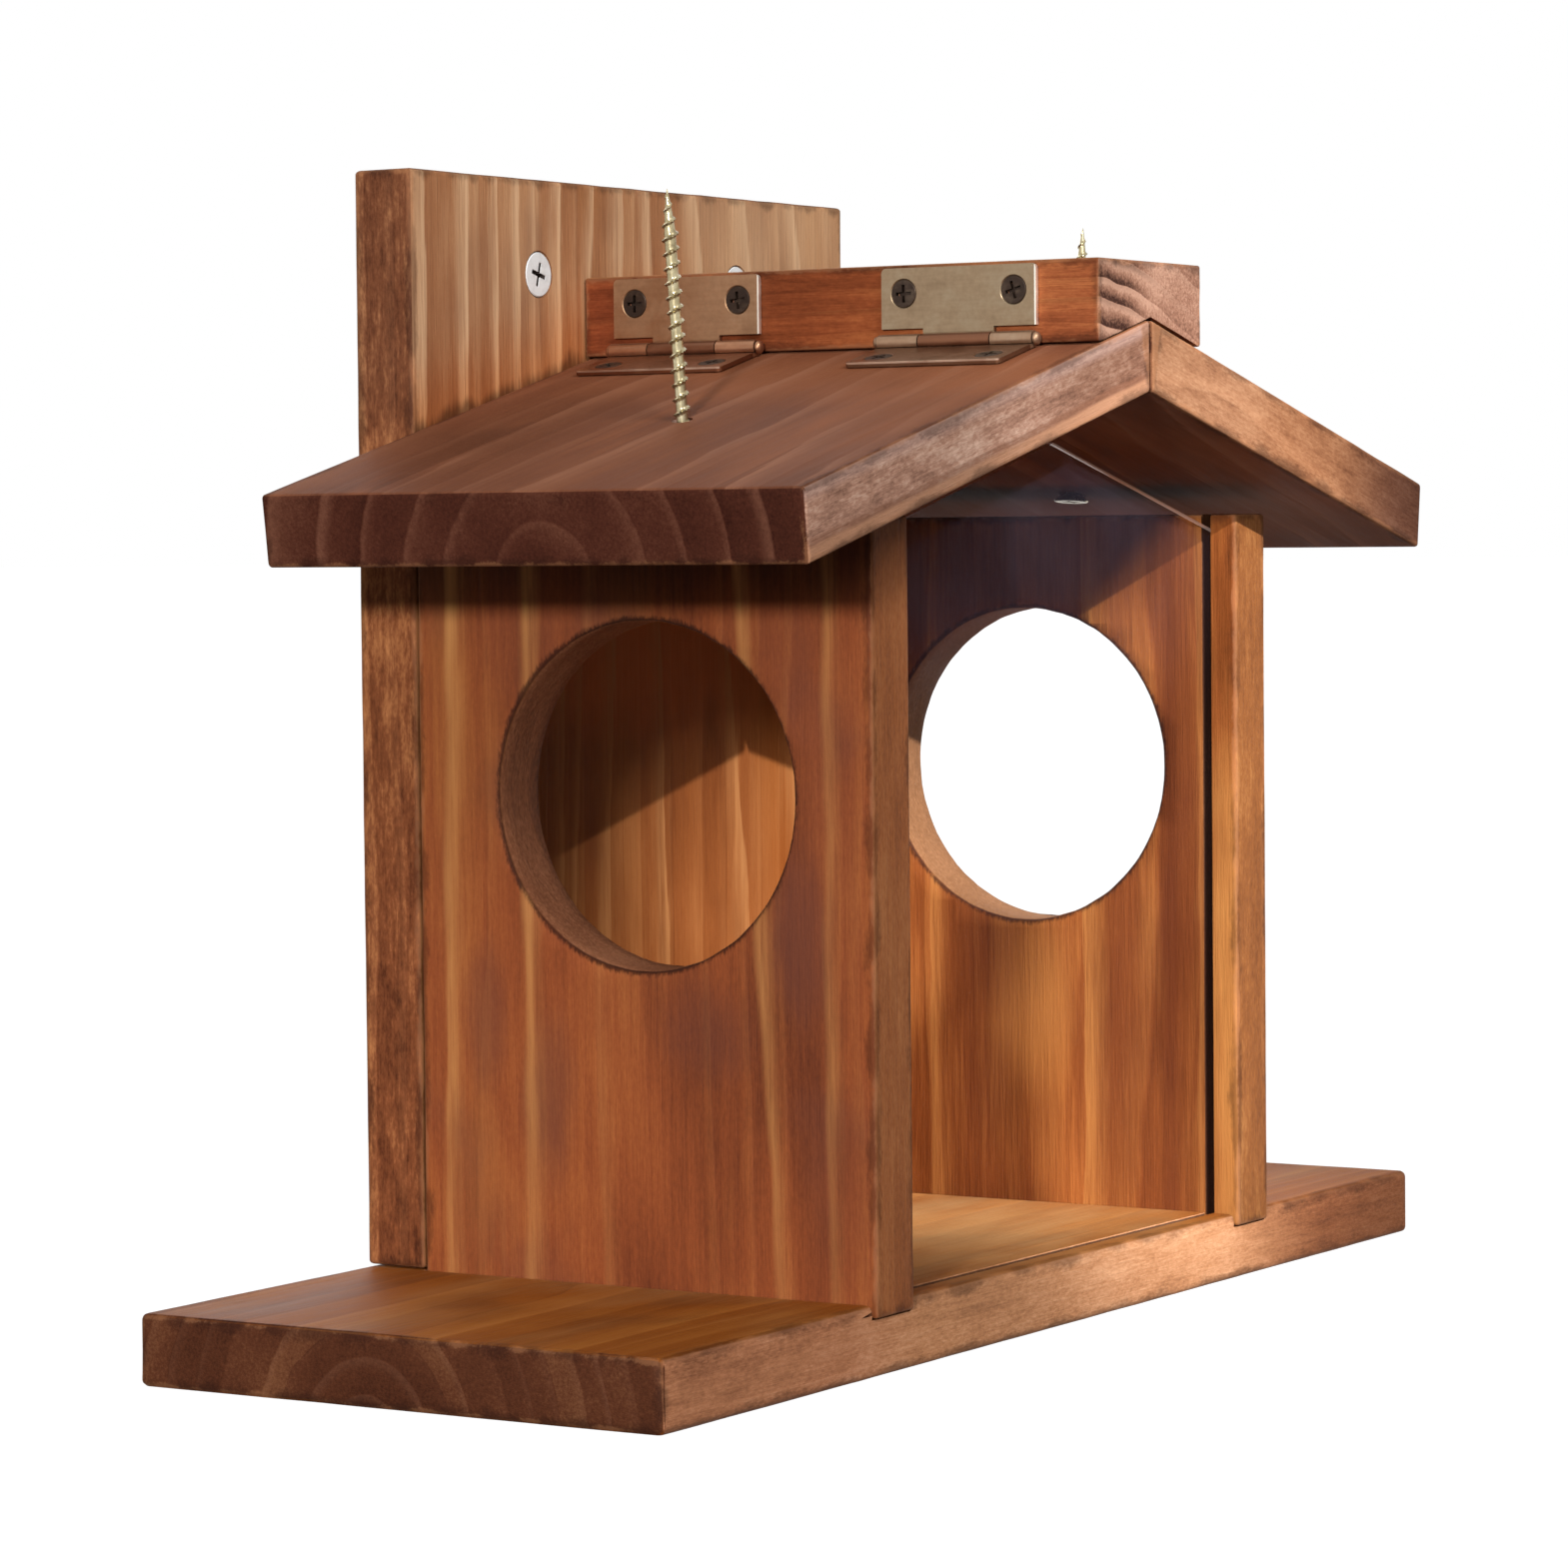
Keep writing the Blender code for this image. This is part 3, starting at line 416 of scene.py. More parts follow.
    tree.links.new(colour, shader.inputs["Base Color"])
    rough = calc(tree, "MULTIPLY_ADD", blotch, 0.25, 0.55)
    rough = calc(tree, "MULTIPLY_ADD", fibre, 0.2, rough)
    rough = calc(tree, "MULTIPLY_ADD", isEnd, 0.15, rough, clamp=True)
    tree.links.new(rough, shader.inputs["Roughness"])
    shader.inputs["Specular IOR Level"].default_value = look["shine"]
    tree.links.new(bumpFrom(tree, height, 0.55, 0.35 * mm), shader.inputs["Normal"])
    return material


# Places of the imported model, in its own frame
gap = 0.3 * mm
ridgeBottom = 202.02 * mm
roofThickness = 15 * mm
windowSlot = (-49.05 * mm, -46.65 * mm)  # front and rear of the upright grooves
windowHalf = 80.7 * mm
overrun = 4 * mm


# Board frames: where a board lies, and which way its grain runs
def boxBoard(node, axes):
    low, high = (Vector(corner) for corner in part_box(node))
    size = high - low
    order = ["XYZ".index(axis) for axis in axes]
    columns = [Vector([float(row == axis) for row in range(3)]) for axis in order]
    matrix = Matrix(columns).transposed().to_4x4()
    matrix.translation = low
    sizes = [size[axis] for axis in order]
    return {"centre": (low + high) / 2, "tilt": 0.0, "axes": axes, "sizes": sizes, "matrix": matrix,
            "halves": [value * perMetre / 2 for value in sizes]}


def slopeBoard(origin, tilt, sizes):
    turn = Euler((0, tilt, 0)).to_matrix().transposed()
    matrix = turn.to_4x4()
    matrix.translation = origin
    return {"centre": matrix @ (Vector(sizes) / 2), "tilt": tilt, "axes": "XYZ", "sizes": sizes,
            "matrix": matrix, "halves": [value * perMetre / 2 for value in sizes]}


# Board shapes: a box with rounded, worn edges, made in the board's own frame and then placed
def loopPlaces(length, radius, step, turns=4):
    # Where the loops lie: close together round the two edges, evenly between them
    bend = [radius * (1 - math.cos(math.pi / 2 * count / turns)) for count in range(turns + 1)]
    runs = max(2, round((length - 2 * radius) / step))
    middle = [radius + (length - 2 * radius) * count / runs for count in range(1, runs)]
    return bend + middle + [length - value for value in reversed(bend)]


def boardMesh(name, board, edgeRadius, seed, step=6 * mm, worn=0.35, endTear=0.2 * mm, lean=(0.0, 0.0)):
    # The lean slants the two ends over the thickness
    sizes = board["sizes"]
    length, depth = sizes[0], sizes[2]
    wideRadius = edgeRadius * (1 + worn)
    loops = [loopPlaces(size, wideRadius, step) for size in sizes]
    shape = bmesh.new()
    made = {}

    def vertexAt(point):
        key = tuple(round(value / (0.001 * mm)) for value in point)
        if key not in made:
            made[key] = shape.verts.new(point)
        return made[key]

    for fixed in range(3):
        others = [axis for axis in range(3) if axis != fixed]
        first, second = (loops[axis] for axis in others)
        for end in (0.0, sizes[fixed]):
            for a, b in zip(first, first[1:]):
                for c, d in zip(second, second[1:]):
                    corners = []
                    for one, other in ((a, c), (b, c), (b, d), (a, d)):
                        point = [0.0, 0.0, 0.0]
                        point[fixed] = end
                        point[others[0]] = one
                        point[others[1]] = other
                        corners.append(vertexAt(point))
                    shape.faces.new(corners)
    offset = Vector((seed * 3.3, seed * 5.1, seed * 7.9))
    for vertex in shape.verts:
        point = vertex.co.copy()
        atEnd = min(point.x, length - point.x) < 0.5 * edgeRadius
        wear = 0.75 * noise.noise(point / (14 * mm) + offset) + 0.25 * noise.noise(point / (3.5 * mm) + offset)
        radius = edgeRadius * (1 + worn * wear)
        inner = Vector([min(max(value, radius), size - radius) for value, size in zip(point, sizes)])
        away = point - inner
        if sum(1 for value in away if abs(value) > 0.01 * radius) > 1:
            point = inner + away.normalized() * radius
        if atEnd:
            level = Vector((0, point.y, point.z))
            torn = 0.6 + 0.6 * noise.noise(level / (4.2 * mm) + offset)
            torn += 0.4 * noise.noise(level / (1.3 * mm) + offset)
            point.x += endTear * max(0.0, torn) * (1 if point.x < length / 2 else -1)
        share = point.x / length
        point.x += (lean[0] * (1 - share) + lean[1] * share) * point.z / depth
        vertex.co = point
    shape.transform(board["matrix"])
    bmesh.ops.recalc_face_normals(shape, faces=shape.faces)
    mesh = bpy.data.meshes.new(name)
    shape.to_mesh(mesh)
    shape.free()
    return mesh


def newPiece(name, mesh, material=None):
    piece = bpy.data.objects.new(name, mesh)
    bpy.context.scene.collection.objects.link(piece)
    if material is not None:
        mesh.materials.clear()
        mesh.materials.append(material)
    return piece


def cutterFrom(shape, matrix=None):
    if matrix is not None:
        shape.transform(matrix)
    bmesh.ops.recalc_face_normals(shape, faces=shape.faces)
    mesh = bpy.data.meshes.new("cutter")
    shape.to_mesh(mesh)
    shape.free()
    return newPiece("cutter", mesh)


def boxShape(low, high):
    shape = bmesh.new()
    bmesh.ops.create_cube(shape, size=1)
    low, high = Vector(low), Vector(high)
    for vertex in shape.verts:
        vertex.co = (low + high) / 2 + vertex.co * (high - low)
    return shape


def turnedShape(profile, sides, ragged=0.0, shape=None, matrix=None):
    # Turns a list of (radius, height) round Z; a radius of zero closes an end
    shape = shape or bmesh.new()
    matrix = matrix or Matrix.Identity(4)
    rings = []
    for radius, z in profile:
        if radius == 0:
            rings.append([shape.verts.new(matrix @ Vector((0, 0, z)))])
            continue
        ring = []
        for side in range(sides):
            angle = math.tau * side / sides
            around = Vector((math.cos(angle), math.sin(angle), 0))
            own = radius + ragged * noise.noise(around * 14 + Vector((0, 0, z * 90)))
            ring.append(shape.verts.new(matrix @ (around * own + Vector((0, 0, z)))))
        rings.append(ring)
    for lower, upper in zip(rings, rings[1:]):
        for side in range(sides):
            after = (side + 1) % sides
            corners = [lower[side % len(lower)], lower[after % len(lower)],
                       upper[after % len(upper)], upper[side % len(upper)]]
            shape.faces.new(dict.fromkeys(corners))
    return shape


def carve(piece, cutters, operation="DIFFERENCE"):
    # Cuts the piece with each cutter in turn and leaves one plain mesh
    for cutter in cutters:
        modifier = piece.modifiers.new("Cut", "BOOLEAN")
        modifier.operation = operation
        modifier.solver = "EXACT"
        modifier.object = cutter
    settle(piece)
    for cutter in cutters:
        bpy.data.objects.remove(cutter, do_unlink=True)


def settle(piece):
    # Turns what the modifiers make into the piece's own mesh
    bpy.context.view_layer.update()
    result = bpy.data.meshes.new_from_object(piece.evaluated_get(bpy.context.evaluated_depsgraph_get()))
    materials = list(piece.data.materials) or list(result.materials)
    piece.modifiers.clear()
    piece.data = result
    result.materials.clear()
    for material in materials:
        result.materials.append(material)


def smoothShade(piece, angle=38):
    piece.data.shade_smooth()
    piece.data.set_sharp_from_angle(angle=math.radians(angle))


def finishPiece(piece, body, nodes):
    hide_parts(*nodes)
    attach(piece, body)


def facing(location, outwards):
    return Matrix.LocRotScale(Vector(location), Vector(outwards).to_track_quat("Z", "Y"), None)


# Screws: the sizes of each kind, and where each one is
screwKinds = {
    "hinge": {"Head radius": 3.15 * mm, "Head depth": 1.9 * mm, "Shank radius": 1.2 * mm, "Length": 12 * mm,
              "Tip": 3 * mm, "Cross reach": 1.9 * mm, "Cross width": 0.75 * mm, "Cross depth": 1.1 * mm,
              "Thread height": 0.0, "Pitch": 1.2 * mm, "Rows": 60, "Sides": 24},
    "mount": {"Head radius": 5 * mm, "Head depth": 3 * mm, "Shank radius": 2.0 * mm, "Length": 12.5 * mm,
              "Tip": 3 * mm, "Cross reach": 2.7 * mm, "Cross width": 1.0 * mm, "Cross depth": 1.7 * mm,
              "Thread height": 0.0, "Pitch": 1.6 * mm, "Rows": 60, "Sides": 32},
    "board": {"Head radius": 3.4 * mm, "Head depth": 2.2 * mm, "Shank radius": 1.2 * mm, "Length": 35 * mm,
              "Tip": 5 * mm, "Cross reach": 2.0 * mm, "Cross width": 0.85 * mm, "Cross depth": 1.3 * mm,
              "Thread height": 0.35 * mm, "Pitch": 2.4 * mm, "Rows": 110, "Sides": 20},
    "cob": {"Head radius": 4.1 * mm, "Head depth": 2.8 * mm, "Shank radius": 1.2 * mm, "Length": 64.74 * mm,
            "Tip": 9 * mm, "Cross reach": 2.2 * mm, "Cross width": 0.95 * mm, "Cross depth": 1.5 * mm,
            "Thread height": 0.75 * mm, "Pitch": 3 * mm, "Rows": 230, "Sides": 24},
}
hingeAxis = (-25.55 * mm, 213.143 * mm)
hingeRows = {"rear": 29.85 * mm, "front": -39.35 * mm}
slopeDown = Vector((-math.cos(pitch), 0, -math.sin(pitch)))
slopeOut = Vector((-math.sin(pitch), 0, math.cos(pitch)))
hingeSides = {
    "beam": (Vector((0, 0, 1)), Vector((-1, 0, 0))),
    "lid": (slopeDown, slopeOut),
}
wallX, footX, beamX = 81.5 * mm, 45 * mm, 8 * mm
footZ, rearY = 0.6 * mm, 72.25 * mm
down, rearwards = Vector((0, 0, -1)), Vector((0, 1, 0))
screwSpots = {}
for side, x in (("left", -1), ("right", 1)):
    screwSpots[f"{side}_wall_front_base_screw"] = (Vector((x * wallX, -31.35 * mm, footZ)), down)
    screwSpots[f"{side}_wall_rear_base_screw"] = (Vector((x * wallX, 33.85 * mm, footZ)), down)
    screwSpots[f"{side}_wall_lower_back_screw"] = (Vector((x * wallX, rearY, 53.5 * mm)), rearwards)
    screwSpots[f"{side}_wall_upper_back_screw"] = (Vector((x * wallX, rearY, 152 * mm)), rearwards)
    screwSpots[f"back_board_{side}_base_screw"] = (Vector((x * footX, 65.35 * mm, footZ)), down)
    screwSpots[f"beam_{side}_back_screw"] = (Vector((x * beamX, rearY, 222.665 * mm)), rearwards)
    screwSpots[f"{side}_mount_screw"] = (Vector((x * 41 * mm, 57.85 * mm, 230 * mm)), Vector((0, -1, 0)))
    lean = math.radians(6)
    upwards = Vector((x * math.sin(lean), 0, math.cos(lean)))
    crossing = Vector((x * 85 * mm, -7.75 * mm, 195.98 * mm))
    screwSpots[f"{side}_cob_screw"] = (crossing - upwards * 16.878 * mm, -upwards)
for where, x, z in (("inner", 40, 199.635), ("outer", 74, 191.035)):
    screwSpots[f"roof_panel_{where}_back_screw"] = (Vector((x * mm, rearY, z * mm)), rearwards)
for row, y in hingeRows.items():
    for side, (along, outwards) in hingeSides.items():
        for count, step in ((1, -13.5 * mm), (2, 13.5 * mm)):
            head = Vector((hingeAxis[0], y + step, hingeAxis[1])) + along * 10.5 * mm - outwards * 0.75 * mm
            screwSpots[f"{row}_hinge_{side}_screw_{count}"] = (head, outwards)


def pockets(names, kind, shankShare=1.0):
    # One cutter that makes room for some screws of one kind
    size = screwKinds[kind]
    head, shank = size["Head radius"] + gap, (size["Shank radius"] + size["Thread height"]) * shankShare + gap
    profile = [(0, overrun), (head, overrun), (head, -0.25 * mm), (shank, -size["Head depth"] - gap),
               (shank, -size["Length"] + size["Tip"]), (0, -size["Length"] - gap)]
    shape = bmesh.new()
    for name in names:
        turnedShape(profile, 20, shape=shape, matrix=facing(*screwSpots[name]))
    return cutterFrom(shape)


def node(tree, kind, **settings):
    made = tree.nodes.new(kind)
    for key, value in settings.items():
        setattr(made, key, value)
    return made


def screwTree():
    # A screw is a grid rolled up round its axis; the thread climbs round it as it goes down
    tree = bpy.data.node_groups.new("screwRows", "GeometryNodeTree")
    tree.is_modifier = True
    face = tree.interface
    face.new_socket(name="Geometry", in_out="INPUT", socket_type="NodeSocketGeometry")
    for name in screwKinds["board"]:
        kind = "NodeSocketInt" if name in ("Rows", "Sides") else "NodeSocketFloat"
        face.new_socket(name=name, in_out="INPUT", socket_type=kind)
    face.new_socket(name="Seed", in_out="INPUT", socket_type="NodeSocketInt")
    face.new_socket(name="Finish", in_out="INPUT", socket_type="NodeSocketMaterial")
    face.new_socket(name="Geometry", in_out="OUTPUT", socket_type="NodeSocketGeometry")
    given = node(tree, "NodeGroupInput").outputs
    grid = node(tree, "GeometryNodeMeshGrid")
    plug(tree, 1.0, grid.inputs["Size X"])
    plug(tree, 1.0, grid.inputs["Size Y"])
    plug(tree, calc(tree, "ADD", given["Sides"], 1.0), grid.inputs["Vertices X"])
    plug(tree, given["Rows"], grid.inputs["Vertices Y"])
    parts = node(tree, "ShaderNodeSeparateXYZ")
    plug(tree, node(tree, "GeometryNodeInputPosition").outputs[0], parts.inputs[0])
    around = calc(tree, "ADD", parts.outputs[0], 0.5)
    downShare = calc(tree, "ADD", parts.outputs[1], 0.5)
    # The first two rows both lie on the head's face: its middle and its rim
    rowStep = calc(tree, "DIVIDE", 1.0, calc(tree, "SUBTRACT", given["Rows"], 1.0))
    lower = calc(tree, "DIVIDE", calc(tree, "SUBTRACT", downShare, rowStep), calc(tree, "SUBTRACT", 1.0, rowStep))
    depth = calc(tree, "MULTIPLY", calc(tree, "MAXIMUM", lower, 0.0), given["Length"])
    isRim = calc(tree, "GREATER_THAN", downShare, calc(tree, "MULTIPLY", rowStep, 0.5))
    headRadius = fade(tree, depth, 0.3 * mm, given["Head depth"], given["Head radius"], 0.0, smooth=False)
    easing = fade(tree, depth, 0.0, 0.3 * mm, 0.25 * mm, 0.0)
    headRadius = calc(tree, "SUBTRACT", headRadius, easing)
    turn = calc(tree, "SUBTRACT", calc(tree, "DIVIDE", depth, given["Pitch"]), around)
    wedge = calc(tree, "PINGPONG", turn, 0.5)
    crest = fade(tree, wedge, 0.37, 0.5, smooth=False)
    start = calc(tree, "ADD", given["Head depth"], given["Pitch"])
    fading = fade(tree, depth, given["Head depth"], start)
    body = calc(tree, "MULTIPLY_ADD", calc(tree, "MULTIPLY", crest, fading), given["Thread height"],
                given["Shank radius"])
    tipStart = calc(tree, "SUBTRACT", given["Length"], given["Tip"])
    tipShare = calc(tree, "POWER", fade(tree, depth, tipStart, given["Length"], 1.0, 0.0, smooth=False), 0.75)
    radius = calc(tree, "MULTIPLY", calc(tree, "MAXIMUM", body, headRadius), tipShare)
    radius = calc(tree, "MULTIPLY", radius, isRim)
    angle = calc(tree, "MULTIPLY", around, -math.tau)
    point = node(tree, "ShaderNodeCombineXYZ")
    plug(tree, calc(tree, "MULTIPLY", radius, calc(tree, "COSINE", angle)), point.inputs[0])
    plug(tree, calc(tree, "MULTIPLY", radius, calc(tree, "SINE", angle)), point.inputs[1])
    plug(tree, calc(tree, "MULTIPLY", depth, -1.0), point.inputs[2])
    rolled = node(tree, "GeometryNodeSetPosition")
    plug(tree, grid.outputs["Mesh"], rolled.inputs["Geometry"])
    plug(tree, point.outputs[0], rolled.inputs["Position"])
    merged = node(tree, "GeometryNodeMergeByDistance")
    plug(tree, rolled.outputs[0], merged.inputs["Geometry"])
    plug(tree, 0.02 * mm, merged.inputs["Distance"])
    cut = node(tree, "GeometryNodeMeshBoolean", operation="DIFFERENCE", solver="EXACT")
    plug(tree, merged.outputs[0], cut.inputs[0])
    for swap in (False, True):
        bar = node(tree, "GeometryNodeMeshCube")
        size = node(tree, "ShaderNodeCombineXYZ")
        long = calc(tree, "MULTIPLY", given["Cross reach"], 2.0)
        plug(tree, long, size.inputs[1 if swap else 0])
        plug(tree, given["Cross width"], size.inputs[0 if swap else 1])
        plug(tree, calc(tree, "MULTIPLY", given["Cross depth"], 2.0), size.inputs[2])
        plug(tree, size.outputs[0], bar.inputs["Size"])
        tree.links.new(bar.outputs["Mesh"], cut.inputs[1])
    spin = node(tree, "FunctionNodeRandomValue", data_type="FLOAT")
    floats = [socket for socket in spin.inputs if socket.type == "VALUE"]
    plug(tree, 0.0, floats[0])
    plug(tree, math.tau, floats[1])
    plug(tree, given["Seed"], spin.inputs["Seed"])
    spun = [socket for socket in spin.outputs if socket.type == "VALUE"][0]
    about = node(tree, "ShaderNodeCombineXYZ")
    plug(tree, spun, about.inputs[2])
    own = node(tree, "FunctionNodeEulerToRotation")
    plug(tree, about.outputs[0], own.inputs[0])
    outwards = node(tree, "GeometryNodeInputNamedAttribute", data_type="FLOAT_VECTOR")
    plug(tree, "outwards", outwards.inputs["Name"])
    aligned = node(tree, "FunctionNodeAlignRotationToVector", axis="Z")
    plug(tree, own.outputs[0], aligned.inputs["Rotation"])
    plug(tree, outwards.outputs["Attribute"], aligned.inputs["Vector"])
    rows = node(tree, "GeometryNodeInstanceOnPoints")
    plug(tree, given["Geometry"], rows.inputs["Points"])
    plug(tree, cut.outputs["Mesh"], rows.inputs["Instance"])
    plug(tree, aligned.outputs[0], rows.inputs["Rotation"])
    real = node(tree, "GeometryNodeRealizeInstances")
    plug(tree, rows.outputs[0], real.inputs[0])
    dressed = node(tree, "GeometryNodeSetMaterial")
    plug(tree, real.outputs[0], dressed.inputs["Geometry"])
    plug(tree, given["Finish"], dressed.inputs["Material"])
    tree.links.new(dressed.outputs[0], node(tree, "NodeGroupOutput").inputs[0])
    return tree


def screwPiece(name, kind, nodes, body, finish, seed):
    mesh = bpy.data.meshes.new(name)
    mesh.from_pydata([screwSpots[spot][0] for spot in nodes], [], [])
    attribute = mesh.attributes.new("outwards", "FLOAT_VECTOR", "POINT")
    for count, spot in enumerate(nodes):
        attribute.data[count].vector = screwSpots[spot][1]
    piece = newPiece(name, mesh)
    modifier = piece.modifiers.new("Screws", "NODES")
    modifier.node_group = screwRows
    values = dict(screwKinds[kind], Seed=seed, Finish=finish)
    for item in screwRows.interface.items_tree:
        if item.in_out == "INPUT" and item.name in values:
            modifier[item.identifier] = values[item.name]
    settle(piece)
    piece.data.materials.clear()
    piece.data.materials.append(finish)
    smoothShade(piece, 32)
    finishPiece(piece, body, nodes)
    print("screws:", name, len(piece.data.polygons), "faces")


# Base board
baseSet = {"edge": 1.5 * mm, "seed": 2.0}
baseBoard = boxBoard("base_board", "XYZ")
baseWood = woodMaterial("baseWood", baseBoard, {
    "seed": 2.0, "pith": (9.0, -13.0), "ring": 6.5, "streak": 0.2, "saw": 0.12, "endStreak": 0.14, "line": 0.4,
    # The side stretches darken the long faces towards the left end and more towards the right end: painted shade
    # beside the pool of light
    "sideToneAndShade": ((-60.0, -105.0, (0.86, 0.78, 0.8)), (60.0, 125.0, (0.54, 0.42, 0.38))), "shine": 0.03,
    "face": ((0.12, 0.03, 0.006), (0.265, 0.076, 0.0118), (0.42, 0.15, 0.029)), "coarse": 0.7,
    "side": ((0.17, 0.064, 0.029), (0.5, 0.226, 0.105), (0.78, 0.42, 0.235)),
    "end": ((0.034, 0.01, 0.005), (0.095, 0.03, 0.0135), (0.19, 0.075, 0.033)),
    "pale": (0.45, 0.17, 0.045), "charWidth": 2.6, "stain": (0.1, 0.03, 0.01), "blotch": 0.9,
    # The glow patch over the middle of the base is painted light: a pool of light on the floor inside the house
    "patches": ((0.0, 0.0, 80.0, 66.0, 0.6, "glow"),), "glow": (0.53, 0.31, 0.13), "glowShare": 0.12,
    "groove": (-56.5, 1.2, 1.0),
})
base = newPiece("baseBoard", boardMesh("baseBoard", baseBoard, baseSet["edge"], baseSet["seed"],
                                       endTear=0.6 * mm), baseWood)
baseCuts = [cutterFrom(boxShape((side * 81.5 * mm - 7.8 * mm, -70 * mm, 12 * mm),
                                (side * 81.5 * mm + 7.8 * mm, 58.15 * mm, 30 * mm))) for side in (-1, 1)]
baseCuts.append(cutterFrom(boxShape((-windowHalf, windowSlot[0], 13.5 * mm),
                                    (windowHalf, windowSlot[1], 30 * mm))))
baseNames = [name for name in screwSpots if name.endswith("base_screw")]
baseCuts.append(pockets(baseNames, "board"))
carve(base, baseCuts)
smoothShade(base)
finishPiece(base, "house", ["base_board"])
print("base board:", len(base.data.polygons), "faces")

# Back board
backSet = {"edge": 1.0 * mm, "seed": 3.0}
backBoard = boxBoard("back_board", "ZXY")
backWood = woodMaterial("backWood", backBoard, {
    "seed": 3.0, "pith": (-96.0, 24.0), "ring": 8.6, "line": 0.5, "warp": 9.0, "saw": 0.1,
    "face": ((0.19, 0.064, 0.024), (0.42, 0.185, 0.082), (0.66, 0.37, 0.19)),
    "side": ((0.065, 0.017, 0.007), (0.23, 0.07, 0.026), (0.56, 0.22, 0.08)), "coarse": 1.3,
    "sideToneAndShade": ((40.0, 75.0, (0.78, 0.88, 1.05)),),
    "end": ((0.12, 0.045, 0.02), (0.22, 0.09, 0.045), (0.34, 0.17, 0.09)),
    "pale": (0.85, 0.56, 0.33), "streak": 0.08, "zones": 0.25, "char": 0.5, "glowShare": 0.25,
    "stain": (0.2, 0.085, 0.05), "stainShare": 0.6,
    "streaks": ((-85.0, 7.0, 0.75, 0.0), (-68.6, 5.0, 0.85, 0.0), (-57.2, 4.0, 0.75, 0.0),
                (-48.8, 5.0, 0.7, 0.0), (-43.3, 3.0, 0.4, 0.0), (-33.5, 7.0, 0.75, 0.01),
                (-26.6, 4.0, 0.65, 0.06), (-13.4, 8.0, 0.7, 0.05), (7.0, 7.0, 0.65, -0.03),
                (37.0, 8.0, 0.7, -0.12), (62.0, 9.0, 0.65, -0.15), (86.5, 8.0, 0.7, -0.17)),
    # The glow patch at 62 across is painted light on the inside, where light falls through the left entrance; the last
    # patch is painted light that brightens the shaded part
    "patches": ((70.0, -70.0, 40.0, 26.0, 0.25, "stain"), (88.0, 60.0, 16.0, 14.0, 0.25, "stain"),
                (20.0, 62.0, 60.0, 14.0, 0.6, "glow"), (110.0, 52.0, 16.0, 34.0, 0.4, "pale"),
                (14.0, 0.0, 18.0, 60.0, 1.0, "paintedLight")),
    "insideShade": (0.41, 0.28, 0.17), "insideShadeTop": 80.0, "paintedLight": (1.0, 0.43, 0.21), "scorch": (0.92, 0.66, 0.48),
})
back = newPiece("backBoard", boardMesh("backBoard", backBoard, backSet["edge"], backSet["seed"]), backWood)
backNames = [name for name in screwSpots if name.endswith("back_screw")]
carve(back, [pockets([name for name in baseNames if name.startswith("back")], "board"),
             pockets(backNames, "board"),
             pockets(["left_mount_screw", "right_mount_screw"], "mount")])
smoothShade(back)
finishPiece(back, "house", ["back_board"])
print("back board:", len(back.data.polygons), "faces")

